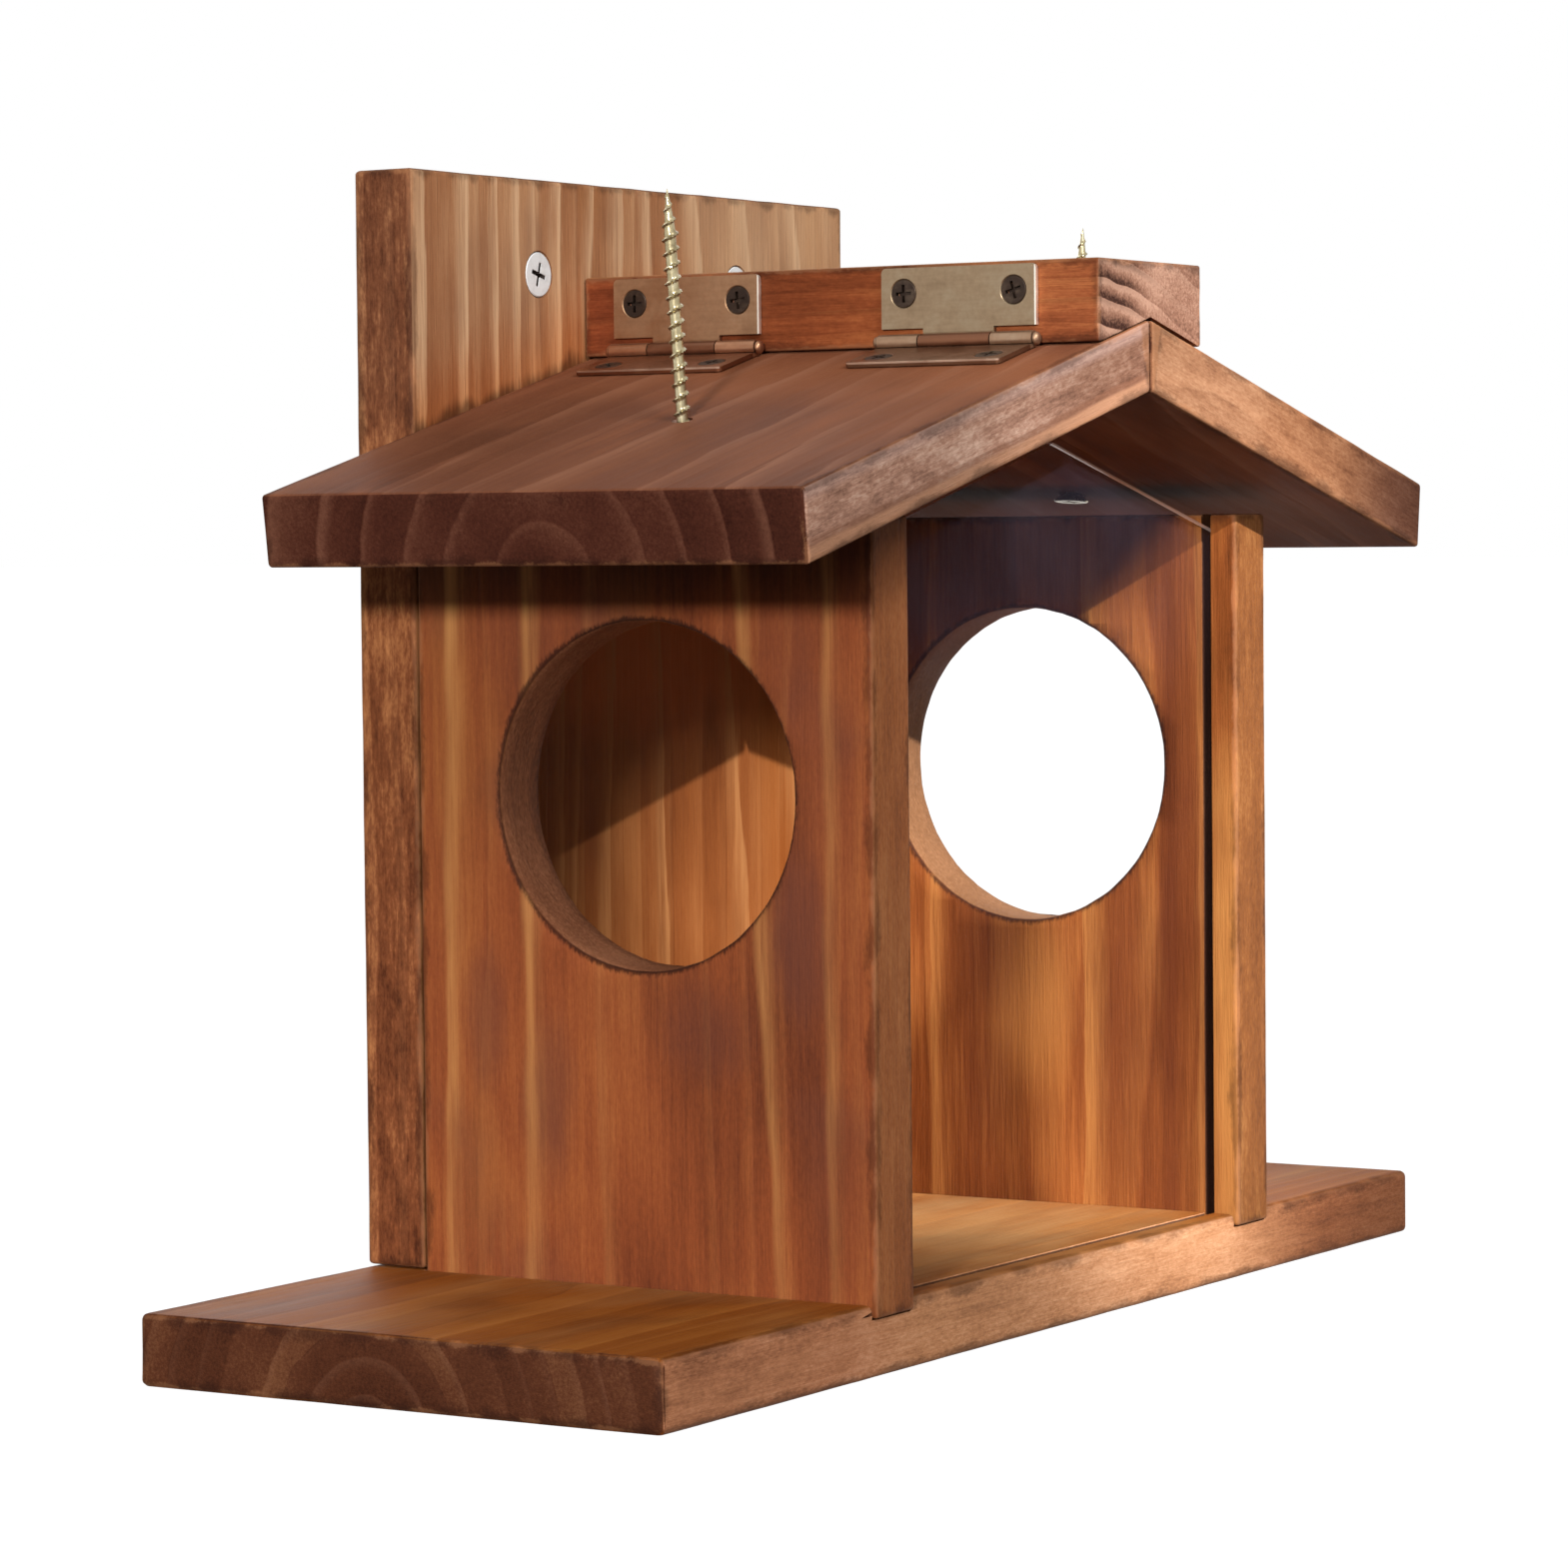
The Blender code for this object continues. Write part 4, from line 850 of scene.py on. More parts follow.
# Side walls, with the round entrances
wallSet = {"edge": 0.9 * mm, "entrance": 36.5 * mm, "entranceY": 0.15 * mm, "entranceZ": 118 * mm,
           "ragged": 0.12 * mm, "rim": 0.9 * mm}
wallLooks = {
    "left": {
        "seed": 4.0, "pith": (12.0, -34.0), "ring": 11.0, "saw": 0.12, "zones": 0.12, "streak": 0.06,
        "face": ((0.1, 0.026, 0.012), (0.26, 0.066, 0.022), (0.42, 0.13, 0.036)), "coarse": 0.5, "fibre": 0.45,
        "side": ((0.12, 0.036, 0.013), (0.27, 0.088, 0.03), (0.4, 0.16, 0.06)), "blotch": 1.3,
        "stain": (0.12, 0.04, 0.027), "glowShare": 0.2, "stainShare": 0.45, "fuzz": (0.32, 0.6, 0.6),
        "streakEdge": 2.0, "streakLoss": 0.4,
        "streaks": ((48.8, 5.0, 0.9, -0.013), (28.5, 4.5, 0.75, 0.0), (-28.5, 4.5, 0.65, 0.063),
                    (-45.8, 3.5, 0.45, 0.0), (11.0, 4.0, 0.2, 0.02)),
        # The wide patch at 75.5 along, across the whole wall, is painted shade: the dark shadow band under the lid's
        # eave
        "patches": ((-2.7, -39.4, 15.0, 7.0, 0.65, "stain"), (-25.0, -16.5, 10.0, 10.0, 0.5, "stain"),
                    (-41.0, 23.5, 16.0, 6.0, 0.6, "stain"), (17.0, -44.7, 40.0, 10.0, 0.2, "stain"),
                    (-24.0, 40.0, 14.0, 5.0, 0.5, "stain"), (75.5, 0.0, 8.5, 200.0, 0.8, "charAndShade"),
                    (60.0, 30.0, 16.0, 10.0, 0.3, "stain"), (-60.0, -48.0, 24.0, 8.0, 0.15, "stain")),
        "bore": ((0.09, 0.03, 0.014), (0.23, 0.085, 0.04), (0.39, 0.165, 0.082)),
    },
    "right": {
        "seed": 5.0, "pith": (-16.0, 30.0), "ring": 9.0, "saw": 0.15, "streak": 0.1, "zones": 0.2,
        "face": ((0.093, 0.0245, 0.006), (0.218, 0.0585, 0.014), (0.39, 0.127, 0.03)), "coarse": 0.5, "fibre": 0.5,
        "side": ((0.095, 0.029, 0.009), (0.2, 0.07, 0.0205), (0.35, 0.153, 0.051)),
        "stain": (0.1, 0.022, 0.007), "glow": (0.5, 0.2, 0.05), "glowShare": 0.25, "pale": (0.52, 0.22, 0.06),
        "stainShare": 0.4, "fuzz": (0.18, 0.6, 0.6),
        "streaks": ((-16.8, 8.0, 0.6, 0.0), (24.5, 5.0, 0.5, 0.0), (-46.8, 6.0, 0.3, 0.0)),
        "patches": ((-34.0, -3.0, 16.0, 9.0, 0.5, "glow"), (-54.0, 7.5, 12.0, 8.0, 0.35, "stain"),
                    (-19.0, 9.0, 13.0, 14.0, 0.4, "stain"), (-46.0, -25.0, 50.0, 8.0, 0.4, "stain"),
                    (-10.0, -39.0, 90.0, 2.2, 0.6, "stain"), (10.0, -42.0, 60.0, 6.0, 0.4, "stain"),
                    (-34.0, -54.0, 56.0, 4.5, 0.8, "pale")),
        "bore": ((0.145, 0.062, 0.025), (0.227, 0.104, 0.047), (0.345, 0.17, 0.085)),
    },
}
for side, turn in (("left", -1), ("right", 1)):
    wallBoard = boxBoard(f"{side}_wall", "ZYX")
    centre = wallBoard["centre"]
    hole = ((wallSet["entranceZ"] - centre.z) * perMetre, (wallSet["entranceY"] - centre.y) * perMetre,
            wallSet["entrance"] * perMetre)
    grooveMiddle = (sum(windowSlot) / 2 - centre.y) * perMetre
    wallWood = woodMaterial(f"{side}WallWood", wallBoard, dict(
        wallLooks[side], hole=hole, groove=(grooveMiddle, 1.2, -float(turn))))
    wall = newPiece(f"{side}Wall", boardMesh(f"{side}Wall", wallBoard, wallSet["edge"], 4.0 + turn,
                                             endTear=0.1 * mm), wallWood)
    half, round_, easing = 7.5 * mm, wallSet["entrance"], wallSet["rim"]
    profile = [(0, -half - 2 * mm), (round_ + easing, -half - 2 * mm), (round_ + easing, -half - 0.1 * mm),
               (round_ + easing * 0.35, -half + easing * 0.3), (round_, -half + easing)]
    profile += [(round_, -half + easing + (15 * mm - 2 * easing) * count / 4) for count in range(1, 4)]
    profile += [(radius, -z) for radius, z in reversed(profile[:5])]
    entrance = turnedShape(profile, 150, ragged=wallSet["ragged"])
    place = facing((centre.x, wallSet["entranceY"], wallSet["entranceZ"]), (1, 0, 0))
    inner = turn * 74 * mm
    groove = sorted((inner - turn * overrun, inner + turn * 7 * mm))
    names = [name for name in screwSpots if name.startswith(f"{side}_wall")]
    carve(wall, [cutterFrom(entrance, place),
                 cutterFrom(boxShape((groove[0], windowSlot[0], 5 * mm), (groove[1], windowSlot[1], 190 * mm))),
                 pockets(names, "board")])
    smoothShade(wall)
    finishPiece(wall, "house", [f"{side}_wall"])
    print("wall:", side, len(wall.data.polygons), "faces")

# Roof: the lid on the left and the fixed panel on the right
roofSet = {"edge": 0.9 * mm, "front": -72.85 * mm, "gap": 0.4 * mm, "undercut": 1.8 * mm,
           "lidSpan": 143.7 * mm, "panelSpan": 137.3 * mm, "lidRear": 57.35 * mm, "panelRear": 57.55 * mm}
roofLook = {
    "ring": 7.5, "face": ((0.085, 0.028, 0.014), (0.17, 0.06, 0.03), (0.28, 0.11, 0.055)),
    "side": ((0.09, 0.039, 0.027), (0.42, 0.224, 0.153), (0.75, 0.505, 0.385)), "coarse": 1.1,
    "end": ((0.027, 0.0075, 0.005), (0.071, 0.021, 0.0122), (0.134, 0.049, 0.028)),
    "pale": (0.34, 0.15, 0.085), "endPale": (0.22, 0.09, 0.054), "streak": 0.1, "zones": 0.2,
    "glow": (0.34, 0.12, 0.052), "stain": (0.085, 0.032, 0.02), "shine": 0.01, "endStreak": 0.4, "saw": 0.12,
    "line": 0.3, "sway": 16.0, "streakLoss": 0.6, "sidePale": (0.6, 0.3, 0.16), "fibre": 0.3, "hair": 0.2, "endSaw": 0.25,
    "streaks": ((-58.0, 6.0, 0.6, 0.1), (-43.0, 9.0, 0.65, 0.07), (-24.0, 6.0, 0.55, 0.04),
                (1.0, 9.0, 0.6, -0.03), (18.0, 5.0, 0.5, 0.0), (38.0, 8.0, 0.5, 0.03)),
    "patches": ((28.0, -15.0, 22.0, 50.0, 0.5, "glow"), (-10.0, -48.0, 50.0, 16.0, 0.35, "glow")),
}


def eaveShift(tilted):
    # How far an end plane runs along the slope, from the board's bottom face to its top face
    return tilted.x * math.cos(pitch) + tilted.y * math.sin(pitch)


uprightRise = roofThickness / math.cos(pitch)
ridgeShift = eaveShift(Vector((0, uprightRise)))
undercut = roofSet["undercut"]
outerShift = eaveShift(Vector((-undercut, uprightRise - undercut * slope)))
lidBottom = roofSet["lidSpan"] - undercut
lidLength = (lidBottom - roofSet["gap"]) / math.cos(pitch)
lidOrigin = Vector((-lidBottom, roofSet["front"], ridgeBottom - slope * lidBottom))
lidBoard = slopeBoard(lidOrigin, pitch, [lidLength, roofSet["lidRear"] - roofSet["front"], roofThickness])
lidWood = woodMaterial("lidWood", lidBoard, dict(
    roofLook, seed=6.0, pith=(-3.0, -11.0), ring=10.5, sideToneAndShade=((8.0, 52.0, (0.5, 0.45, 0.42)),),
    sideBands=((3.6, 6.2, 0.45, (0.5, 0.33, 0.28)), (-2.4, -3.4, 0.6, (0.22, 0.095, 0.055)),
               (-3.8, -5.0, 0.65, (0.5, 0.255, 0.145)))))
lid = newPiece("lidBoard", boardMesh("lidBoard", lidBoard, roofSet["edge"], 6.0,
                                     lean=(outerShift, ridgeShift)), lidWood)
lidHingeScrews = [name for name in screwSpots if "hinge_lid" in name]
beamHingeScrews = [name for name in screwSpots if "hinge_beam" in name]
carve(lid, [pockets(lidHingeScrews, "hinge"), pockets(["left_cob_screw"], "cob")])
smoothShade(lid)
finishPiece(lid, "lid", ["left_roof_lid"])

panelBottom = roofSet["panelSpan"] - undercut
panelLength = (panelBottom - roofSet["gap"]) / math.cos(pitch)
panelOrigin = Vector((roofSet["gap"], roofSet["front"], ridgeBottom - slope * roofSet["gap"]))
panelBoard = slopeBoard(panelOrigin, -pitch,
                        [panelLength, roofSet["panelRear"] - roofSet["front"], roofThickness])
panelWood = woodMaterial("panelWood", panelBoard, dict(
    roofLook, seed=7.0, pith=(15.0, 28.0),
    side=((0.1, 0.036, 0.018), (0.26, 0.12, 0.062), (0.42, 0.23, 0.13)), coarse=0.8,
    # The side stretches darken the gable faces towards the eave end: painted shade
    sideToneAndShade=((-40.0, 0.0, (0.86, 0.78, 0.71)), (15.0, 58.0, (0.5, 0.47, 0.57)))))
panel = newPiece("roofPanel", boardMesh("roofPanel", panelBoard, roofSet["edge"], 7.0,
                                        lean=(-ridgeShift, -outerShift)), panelWood)
carve(panel, [pockets([name for name in backNames if name.startswith("roof")], "board"),
              pockets(["right_cob_screw"], "cob")])
smoothShade(panel)
finishPiece(panel, "house", ["right_roof_panel"])
print("roof:", len(lid.data.polygons), "and", len(panel.data.polygons), "faces")

# Ridge beam, notched underneath to sit over the ridge
beamSet = {"edge": 0.6 * mm, "bottom": 212.06 * mm}
beamBoard = boxBoard("ridge_beam", "YXZ")
beamWood = woodMaterial("beamWood", beamBoard, {
    "seed": 8.0, "pith": (-52.0, -200.0), "ring": 5.2, "uneven": 0.6, "zones": 0.2, "streak": 0.75,
    "face": ((0.08, 0.02, 0.008), (0.17, 0.048, 0.02), (0.28, 0.1, 0.045)), "line": 0.4, "warp": 10.0,
    "side": ((0.07, 0.017, 0.007), (0.26, 0.07, 0.025), (0.52, 0.18, 0.062)),
    "sideToneAndShade": ((-52.0, -6.0, (0.9, 0.84, 0.78)), (16.0, 52.0, (0.9, 0.84, 0.9))),
    "end": ((0.04, 0.016, 0.011), (0.25, 0.12, 0.077), (0.48, 0.27, 0.185)), "endSaw": 1.5, "coarse": 0.3,
    "endPale": (0.04, 0.016, 0.011), "endStreak": 0.8, "endFade": (-14.0, 6.0),
    "sidePale": (0.05, 0.012, 0.006), "fuzz": (0.15, 0.3, 0.9),
})
beam = newPiece("ridgeBeam", boardMesh("ridgeBeam", beamBoard, beamSet["edge"], 8.0, step=4 * mm), beamWood)
notch = bmesh.new()
half = 24 * mm
corners = [(-half, -3 * mm), (half, -3 * mm), (half, -(half - 23.5 * mm) * slope), (0, 23.5 * mm * slope),
           (-half, -(half - 23.5 * mm) * slope)]
notchFace = notch.faces.new([notch.verts.new((x, -80 * mm, beamSet["bottom"] + z)) for x, z in corners])
grown = bmesh.ops.extrude_face_region(notch, geom=[notchFace])
bmesh.ops.translate(notch, verts=[item for item in grown["geom"] if isinstance(item, bmesh.types.BMVert)],
                    vec=(0, 150 * mm, 0))
carve(beam, [cutterFrom(notch), pockets(beamHingeScrews, "hinge"),
             pockets([name for name in backNames if name.startswith("beam")], "board")])
smoothShade(beam)
finishPiece(beam, "house", ["ridge_beam"])
print("ridge beam:", len(beam.data.polygons), "faces")

# Clear window, with a gable top
paneSet = {"foot": 13.8 * mm, "peak": 191.57 * mm, "middle": -47.85 * mm, "thickness": 1.8 * mm, "edge": 0.25 * mm}
paneMaterial, paneTree, paneShader = newMaterial("clearPane")
paneSpot = node(paneTree, "ShaderNodeTexCoord")
paneFlat = calc(paneTree, "ABSOLUTE", vecCalc(paneTree, "DOT_PRODUCT", paneSpot.outputs["Normal"], Vector((0, 1, 0))))
paneEdge = fade(paneTree, paneFlat, 0.9, 0.5)
smudgeAndSheen = cloud(paneTree, stretched(paneTree, paneSpot.outputs["Object"], (28.0, 28.0, 14.0), 3.0), 4.0, 0.6)
# The faces' purplish colour, shown at the low alpha below, is the colour of a painted reflection
paneColour = tint(paneTree, paneEdge, (0.36, 0.3, 0.42), (0.95, 0.72, 0.62))
paneTree.links.new(paneColour, paneShader.inputs["Base Color"])
paneHeight = node(paneTree, "ShaderNodeSeparateXYZ")
paneTree.links.new(paneSpot.outputs["Object"], paneHeight.inputs[0])
# Painted reflection: the upper part carries a faint veil that stands in for a reflection, the rest is nearly clean
paneAlpha = calc(paneTree, "MULTIPLY", fade(paneTree, smudgeAndSheen, 0.35, 0.75, 0.01, 0.03),
                 fade(paneTree, paneHeight.outputs[2], 128 * mm, 168 * mm, 0.15, 1.0))
paneAlpha = calc(paneTree, "MAXIMUM", paneAlpha, calc(paneTree, "MULTIPLY", paneEdge, 0.85))
paneTree.links.new(paneAlpha, paneShader.inputs["Alpha"])
paneTree.links.new(fade(paneTree, smudgeAndSheen, 0.3, 0.8, 0.08, 0.2), paneShader.inputs["Roughness"])
paneTree.links.new(bumpFrom(paneTree, smudgeAndSheen, 0.1, 0.1 * mm), paneShader.inputs["Normal"])
pane = bmesh.new()
shoulder = paneSet["peak"] - slope * (windowHalf - gap)
corners = [(-windowHalf, paneSet["foot"]), (windowHalf, paneSet["foot"]), (windowHalf, shoulder),
           (0, paneSet["peak"]), (-windowHalf, shoulder)]
paneFront = paneSet["middle"] - paneSet["thickness"] / 2
paneFace = pane.faces.new([pane.verts.new((x, paneFront, z)) for x, z in corners])
grown = bmesh.ops.extrude_face_region(pane, geom=[paneFace])
bmesh.ops.translate(pane, verts=[item for item in grown["geom"] if isinstance(item, bmesh.types.BMVert)],
                    vec=(0, paneSet["thickness"], 0))
bmesh.ops.recalc_face_normals(pane, faces=pane.faces)
bmesh.ops.bevel(pane, geom=list(pane.edges), offset=paneSet["edge"], segments=2, affect="EDGES", profile=0.5)
paneMesh = bpy.data.meshes.new("window")
pane.to_mesh(paneMesh)
pane.free()
window = newPiece("window", paneMesh, paneMaterial)
smoothShade(window)
finishPiece(window, "house", ["front_window"])
print("window made")


# Hinges: a leaf on the beam, a leaf on the lid, and a pin with domed ends
hingeSet = {"half": 19 * mm, "middle": 8.7 * mm, "reach": 16 * mm, "barrel": 1.75 * mm, "bore": 1.0 * mm,
            "sheet": 1.0 * mm, "root": 2.05 * mm, "step": 0.9 * mm, "corner": 1.1 * mm, "edge": 0.15 * mm,
            "pin": 0.8 * mm, "head": 1.45 * mm, "dome": 1.1 * mm, "curlEnd": -0.35}

# Metal finishes
metalSets = {
    # In the bronze entry, rear is a painted reflection of the wood and cut is a painted highlight
    "bronze": {"colours": ((0.13, 0.08, 0.045), (0.29, 0.205, 0.125), (0.43, 0.34, 0.23)), "metallic": 0.9,
               "rough": (0.3, 0.5), "grain": 900.0, "bump": 0.08, "cut": (0.92, 0.86, 0.76),
               "knuckle": (0.2, 0.085, 0.045), "spread": 0.6, "rear": (1.2, 0.96, 0.86)},
    "darkSteel": {"colours": ((0.012, 0.008, 0.006), (0.035, 0.02, 0.013), (0.11, 0.075, 0.05)), "metallic": 0.7,
                  "rough": (0.35, 0.6), "grain": 900.0, "bump": 0.1},
    "yellowZinc": {"colours": ((0.13, 0.09, 0.045), (0.43, 0.36, 0.21), (0.74, 0.67, 0.48)), "metallic": 0.9,
                   "rough": (0.2, 0.38), "grain": 600.0, "bump": 0.06},
    "whitePaint": {"colours": ((0.55, 0.53, 0.51), (0.84, 0.84, 0.83), (0.88, 0.88, 0.88)), "metallic": 0.0,
                   "rough": (0.3, 0.5), "grain": 500.0, "bump": 0.06, "recess": 58.05 * mm},
}


def metalMaterial(name, look, seed):
    material, tree, shader = newMaterial(name)
    spot = node(tree, "ShaderNodeTexCoord").outputs["Object"]
    broad = cloud(tree, stretched(tree, spot, (190.0, 130.0, 190.0), seed), 3.0, 0.6)
    fine = cloud(tree, stretched(tree, spot, (look["grain"],) * 3, seed + 5), 3.0, 0.6)
    brushed = cloud(tree, stretched(tree, spot, (1400.0, 90.0, 1400.0), seed + 9), 2.0, 0.5)
    spread = look.get("spread", 1.0)
    tone = 0.5
    for pattern, share in ((broad, 1.1), (fine, 0.5), (brushed, 0.35)):
        level = calc(tree, "SUBTRACT", pattern, 0.5)
        tone = calc(tree, "MULTIPLY_ADD", level, share * spread, tone)
    colour = colourRamp(tree, tone, look["colours"])
    places = node(tree, "ShaderNodeSeparateXYZ")
    tree.links.new(spot, places.inputs[0])
    if "recess" in look:
        colour = tint(tree, calc(tree, "GREATER_THAN", places.outputs[1], look["recess"]), colour, (0.05, 0.035, 0.03))
    # Painted reflection: the rear hinge's beam leaf is tinted warmer, as if its bronze mirrored the wood
    if "rear" in look:
        colour = tint(tree, fade(tree, places.outputs[1], -10 * mm, 10 * mm), colour, look["rear"], "MULTIPLY")
    if "cut" in look:
        # The sheet's front end on the beam and its lower edge on the lid are bright: bare cut metal with a painted
        # highlight along it
        away = vecCalc(tree, "SUBTRACT", spot, Vector((hingeAxis[0], 0, hingeAxis[1])))
        ends = [calc(tree, "ABSOLUTE", calc(tree, "SUBTRACT", places.outputs[1], row - hingeSet["half"]))
                for row in hingeRows.values()]
        cutAndHighlight = calc(tree, "LESS_THAN", calc(tree, "MINIMUM", *ends), 0.4 * mm)
        if "knuckle" in look:
            level = vecCalc(tree, "MULTIPLY", away, Vector((1, 0, 1)))
            isCurl = calc(tree, "LESS_THAN", vecCalc(tree, "LENGTH", level), 1.9 * mm)
            colour = tint(tree, isCurl, colour, look["knuckle"])
        else:
            reached = vecCalc(tree, "DOT_PRODUCT", away, slopeDown)
            raised = vecCalc(tree, "DOT_PRODUCT", away, slopeOut)
            sheetTop = hingeSet["sheet"] - hingeSet["barrel"]
            cutAndHighlight = calc(tree, "MULTIPLY", calc(tree, "GREATER_THAN", reached, hingeSet["reach"] - 0.35 * mm),
                         calc(tree, "GREATER_THAN", raised, sheetTop - 0.35 * mm))
            # Painted reflection: the lid leaf's plate is darkened and warmed, as if it mirrored the wood
            isPlate = calc(tree, "GREATER_THAN", reached, 2.2 * mm)
            colour = tint(tree, isPlate, colour, look["plate"], "MULTIPLY")
        colour = tint(tree, cutAndHighlight, colour, look["cut"])
    tree.links.new(colour, shader.inputs["Base Color"])
    low, high = look["rough"]
    tree.links.new(fade(tree, broad, 0.3, 0.7, high, low), shader.inputs["Roughness"])
    shader.inputs["Metallic"].default_value = look["metallic"]
    grainHeight = calc(tree, "MULTIPLY_ADD", brushed, 0.5, fine)
    tree.links.new(bumpFrom(tree, grainHeight, look["bump"], 0.2 * mm), shader.inputs["Normal"])
    return material


metals = {name: metalMaterial(name, look, 2.0 + count) for count, (name, look) in enumerate(metalSets.items())}
# For the lid leaf, plate is a painted reflection of the wood and cut is a painted highlight
copperBronze = {key: value for key, value in metalSets["bronze"].items() if key != "knuckle"}
copperBronze.update(colours=((0.15, 0.08, 0.045), (0.34, 0.21, 0.13), (0.5, 0.36, 0.25)),
                    plate=(0.55, 0.42, 0.36), cut=(0.62, 0.45, 0.33))
metals["copperBronze"] = metalMaterial("copperBronze", copperBronze, 7.0)


def prismShape(outline, start, end):
    # An outline of (x, z) points, drawn out along Y
    shape = bmesh.new()
    face = shape.faces.new([shape.verts.new((x, start, z)) for x, z in outline])
    grown = bmesh.ops.extrude_face_region(shape, geom=[face])
    moved = [item for item in grown["geom"] if isinstance(item, bmesh.types.BMVert)]
    bmesh.ops.translate(shape, verts=moved, vec=(0, end - start, 0))
    bmesh.ops.recalc_face_normals(shape, faces=shape.faces)
    return shape


def curlOutline(look, turns=22):
    # The sheet comes in from the plate, runs under the pin and curls round it
    outer, bore, back = look["barrel"], look["bore"], -look["barrel"]
    first, last = -math.pi / 2, -math.pi * 2 + look["curlEnd"]
    angles = [first + (last - first) * count / turns for count in range(turns + 1)]
    rim = [(outer * math.cos(angle), outer * math.sin(angle)) for angle in angles]
    eye = [(bore * math.cos(angle), bore * math.sin(angle)) for angle in reversed(angles)]
    tail = look["root"] + 0.6 * mm
    return [(tail, back)] + rim + eye + [(tail, back + look["sheet"])]


def hingeLeaf(name, look, middle, board, row, finish):
    half, back = look["half"], -look["barrel"]
    plate = boxShape((look["root"], -half, back), (look["reach"], half, back + look["sheet"]))
    corners = [edge for edge in plate.edges
               if all(vertex.co.x > look["reach"] - gap for vertex in edge.verts)
               and abs(edge.verts[0].co.y - edge.verts[1].co.y) < gap]
    bmesh.ops.bevel(plate, geom=corners, offset=look["corner"], segments=5, affect="EDGES", profile=0.5)
    mesh = bpy.data.meshes.new(name)
    plate.to_mesh(mesh)
    plate.free()
    piece = newPiece(name, mesh, finish)
    spans = [(-look["middle"], look["middle"])] if middle else [
        (-half, -look["middle"] - gap), (look["middle"] + gap, half)]
    if middle:
        # The plate stands back a little beside the other leaf's knuckles
        carve(piece, [cutterFrom(boxShape((0, side * look["middle"] + min(side, 0) * half, back - overrun),
                                          (look["root"] + look["step"], side * look["middle"] + max(side, 0) * half, overrun)))
                      for side in (-1, 1)])
    for span in spans:
        carve(piece, [cutterFrom(prismShape(curlOutline(look), *span))], "UNION")
    size = screwKinds["hinge"]
    holes = bmesh.new()
    front = back + look["sheet"]
    for step in (-13.5 * mm, 13.5 * mm):
        profile = [(0, 1 * mm), (size["Head radius"] + 0.12 * mm, 1 * mm), (size["Head radius"] + 0.12 * mm, 0),
                   (1.6 * mm, -1.5 * mm), (0, -1.5 * mm)]
        turnedShape(profile, 28, shape=holes, matrix=Matrix.Translation((10.5 * mm, step, front)))
    carve(piece, [cutterFrom(holes)])
    bevel = piece.modifiers.new("Eased", "BEVEL")
    bevel.width = look["edge"]
    bevel.segments = 2
    bevel.limit_method = "ANGLE"
    bevel.angle_limit = math.radians(50)
    settle(piece)
    along, outwards = hingeSides[board]
    turn = Matrix((along, outwards.cross(along), outwards)).transposed().to_4x4()
    turn.translation = Vector((hingeAxis[0], hingeRows[row], hingeAxis[1]))
    piece.data.transform(turn)
    smoothShade(piece)
    finishPiece(piece, "lid" if board == "lid" else "house", [f"{row}_hinge_{board}_leaf"])


for row in hingeRows:
    hingeLeaf(f"{row}BeamLeaf", hingeSet, True, "beam", row, metals["bronze"])
    hingeLeaf(f"{row}LidLeaf", hingeSet, False, "lid", row, metals["copperBronze"])
    tail, neck, dome = hingeSet["half"] + gap, hingeSet["head"], hingeSet["dome"]
    rounding = [(neck * math.cos(math.radians(angle)), tail + 0.3 * mm + (dome - 0.3 * mm) * math.sin(math.radians(angle)))
                for angle in (0, 20, 40, 60, 78)]
    upper = [(hingeSet["pin"], tail), (neck, tail)] + rounding + [(0, tail + dome)]
    profile = [(radius, -z) for radius, z in reversed(upper)] + upper
    pinShape = turnedShape(profile, 24)
    bmesh.ops.recalc_face_normals(pinShape, faces=pinShape.faces)
    pinShape.transform(facing((hingeAxis[0], hingeRows[row], hingeAxis[1]), (0, 1, 0)))
    pinMesh = bpy.data.meshes.new(f"{row}Pin")
    pinShape.to_mesh(pinMesh)
    pinShape.free()
    pin = newPiece(f"{row}Pin", pinMesh, metals["copperBronze"])
    smoothShade(pin)
    finishPiece(pin, "lid", [f"{row}_hinge_pin"])
print("hinges made")

screwRows = screwTree()
screwPiece("houseBoardScrews", "board", baseNames + backNames, "house", metals["yellowZinc"], 3)
screwPiece("beamHingeScrews", "hinge", beamHingeScrews, "house", metals["darkSteel"], 5)
screwPiece("lidHingeScrews", "hinge", lidHingeScrews, "lid", metals["darkSteel"], 8)
screwPiece("mountScrews", "mount", ["left_mount_screw", "right_mount_screw"], "house",
           metals["whitePaint"], 4)
screwPiece("leftCobScrew", "cob", ["left_cob_screw"], "lid", metals["yellowZinc"], 6)
screwPiece("rightCobScrew", "cob", ["right_cob_screw"], "house", metals["yellowZinc"], 7)

# Floor, lamps and world
stageSet = {"reach": 30.0, "floorWhite": 0.2, "shownWhite": 0.95, "ambient": 0.04}


def seenDirectly(tree):
    # One where the camera, a reflection or a clear pane sees the surface
    path = node(tree, "ShaderNodeLightPath")
    seen = calc(tree, "MAXIMUM", path.outputs["Is Camera Ray"], path.outputs["Is Glossy Ray"])
    return calc(tree, "MAXIMUM", seen, path.outputs["Is Transmission Ray"])


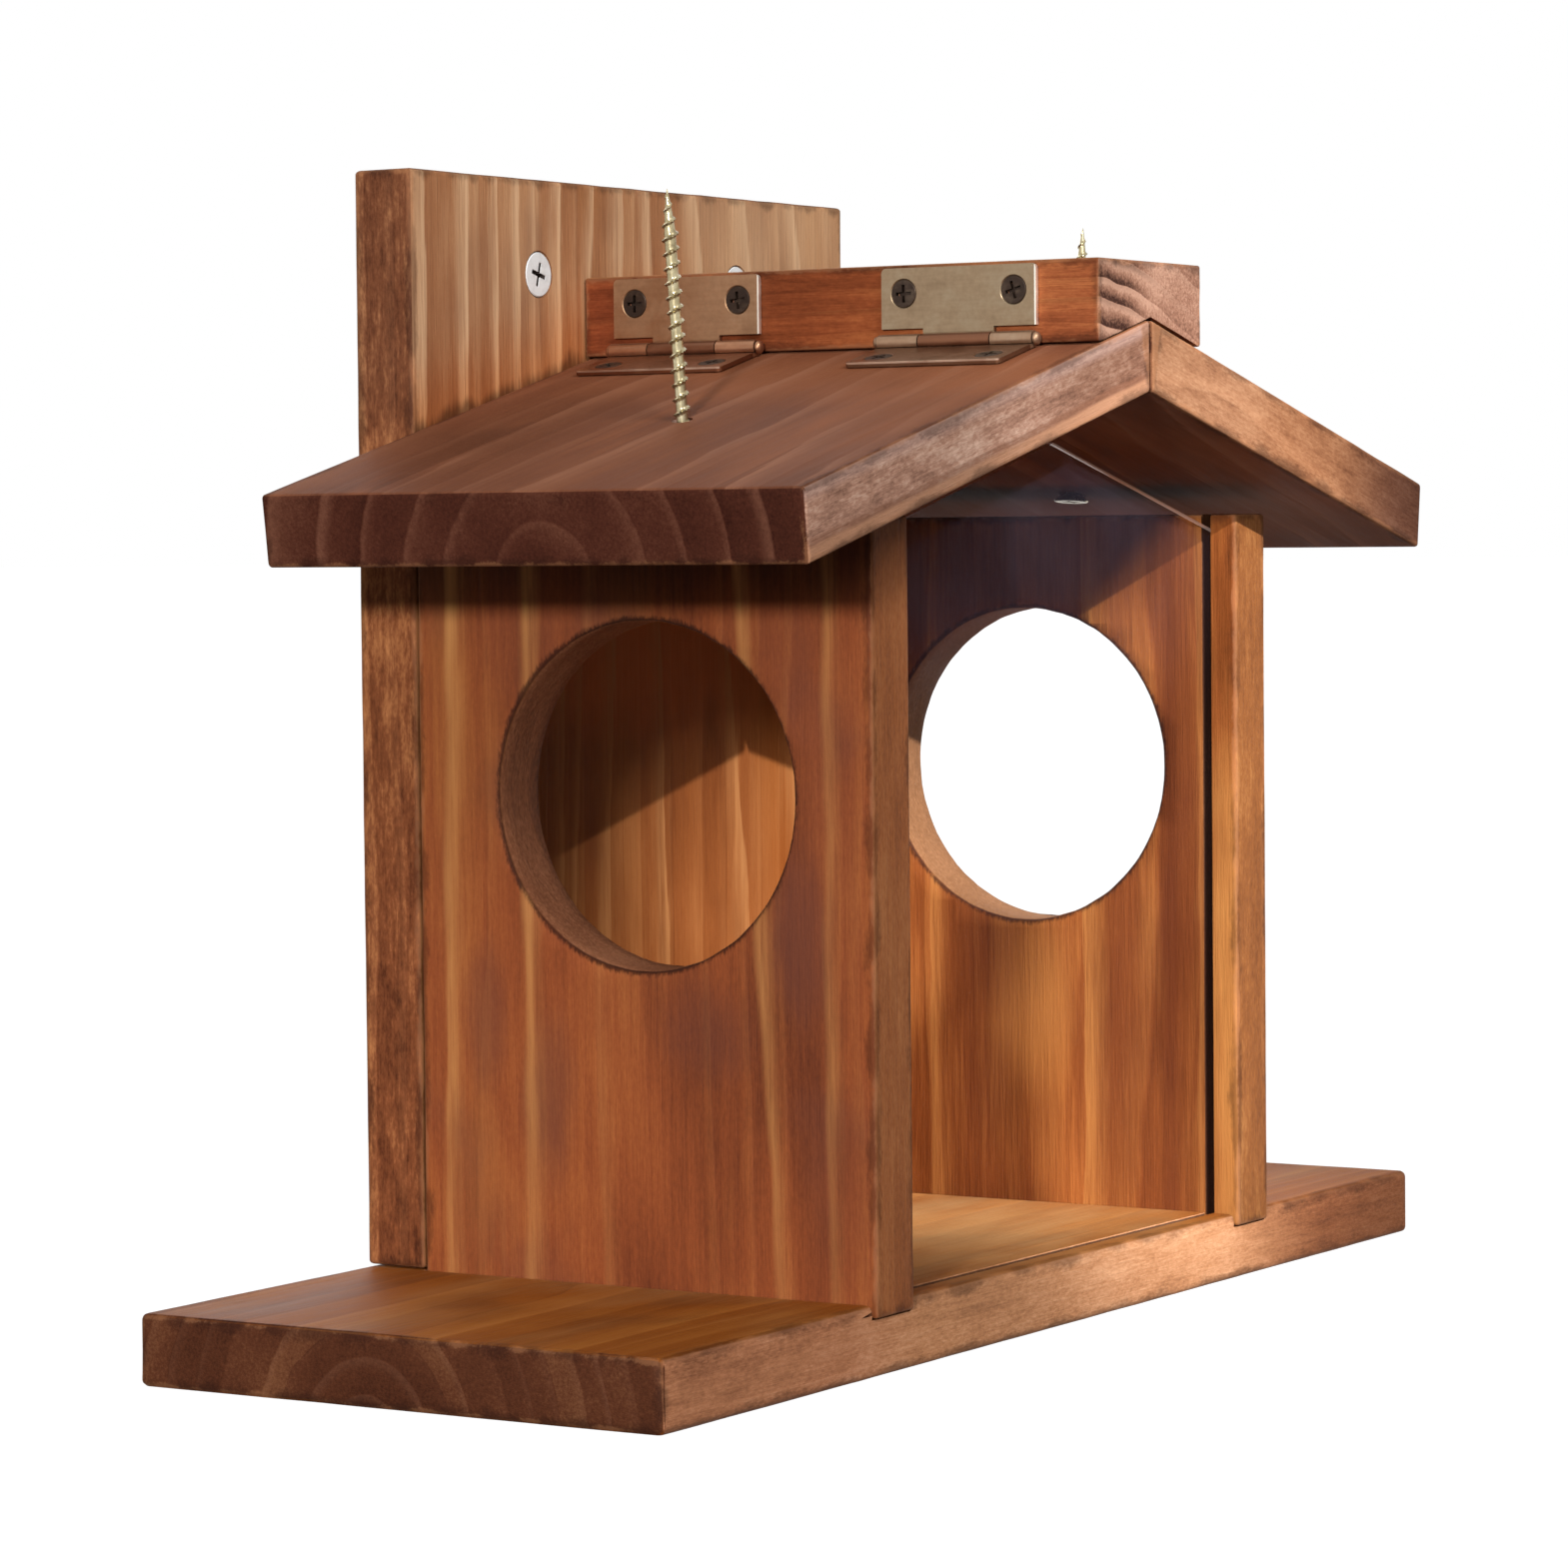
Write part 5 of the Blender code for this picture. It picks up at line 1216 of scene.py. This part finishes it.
reach = stageSet["reach"]
floorMesh = bpy.data.meshes.new("floor")
floorMesh.from_pydata([(-reach, -reach, 0), (reach, -reach, 0), (reach, reach, 0), (-reach, reach, 0)], [],
                      [(0, 1, 2, 3)])
floorMaterial, floorTree, floorShader = newMaterial("paleFloor")
floorShader.inputs["Base Color"].default_value = (*(stageSet["floorWhite"],) * 3, 1.0)
floorShader.inputs["Roughness"].default_value = 0.9
floorShader.inputs["Specular IOR Level"].default_value = 0.0
glow = node(floorTree, "ShaderNodeEmission")
plug(floorTree, calc(floorTree, "MULTIPLY", seenDirectly(floorTree), stageSet["shownWhite"]), glow.inputs["Strength"])
sum_ = node(floorTree, "ShaderNodeAddShader")
floorTree.links.new(floorShader.outputs[0], sum_.inputs[0])
floorTree.links.new(glow.outputs[0], sum_.inputs[1])
floorTree.links.new(sum_.outputs[0], floorTree.nodes["Material Output"].inputs["Surface"])
floor = newPiece("floor", floorMesh, floorMaterial)

world = bpy.data.worlds.new("studio")
bpy.context.scene.world = world
world.use_nodes = True
worldTree = world.node_tree
backdrop = worldTree.nodes["Background"]
level = fade(worldTree, seenDirectly(worldTree), 0.0, 1.0, stageSet["ambient"], 1.0, smooth=False)
worldTree.links.new(level, backdrop.inputs["Strength"])
backdrop.inputs["Color"].default_value = (1.0, 1.0, 1.0, 1.0)

lampSets = {
    "sideLamp": {"kind": "SUN", "towards": (-3.06, -1.0, 0.59), "strength": 2.6, "angle": 5.0},
    "frontFill": {"kind": "SUN", "towards": (-0.5, -1.0, 0.8), "strength": 1.8, "angle": 30.0},
    "rearFill": {"kind": "SUN", "towards": (1.0, 1.2, 0.9), "strength": 1.2, "angle": 60.0},
    "frontSpot": {"kind": "SPOT", "towards": (-0.34, -1.0, 0.635), "strength": 2880.0, "angle": 2.0,
                  "aim": (0.0475, -0.055, 0.1135), "away": 6.0, "radius": 0.03, "blend": 0.4},
}
for name, look in lampSets.items():
    data = bpy.data.lights.new(name, look["kind"])
    data.energy = look["strength"]
    lamp = bpy.data.objects.new(name, data)
    bpy.context.scene.collection.objects.link(lamp)
    towards = Vector(look["towards"]).normalized()
    lamp.rotation_euler = towards.to_track_quat("Z", "Y").to_euler()
    if look["kind"] == "SUN":
        data.angle = math.radians(look["angle"])
    else:
        data.spot_size = math.radians(look["angle"])
        data.spot_blend = look["blend"]
        data.shadow_soft_size = look["radius"]
        lamp.location = Vector(look["aim"]) + towards * look["away"]
bpy.context.scene.view_settings.view_transform = "Standard"
print("floor, lamps and world made")
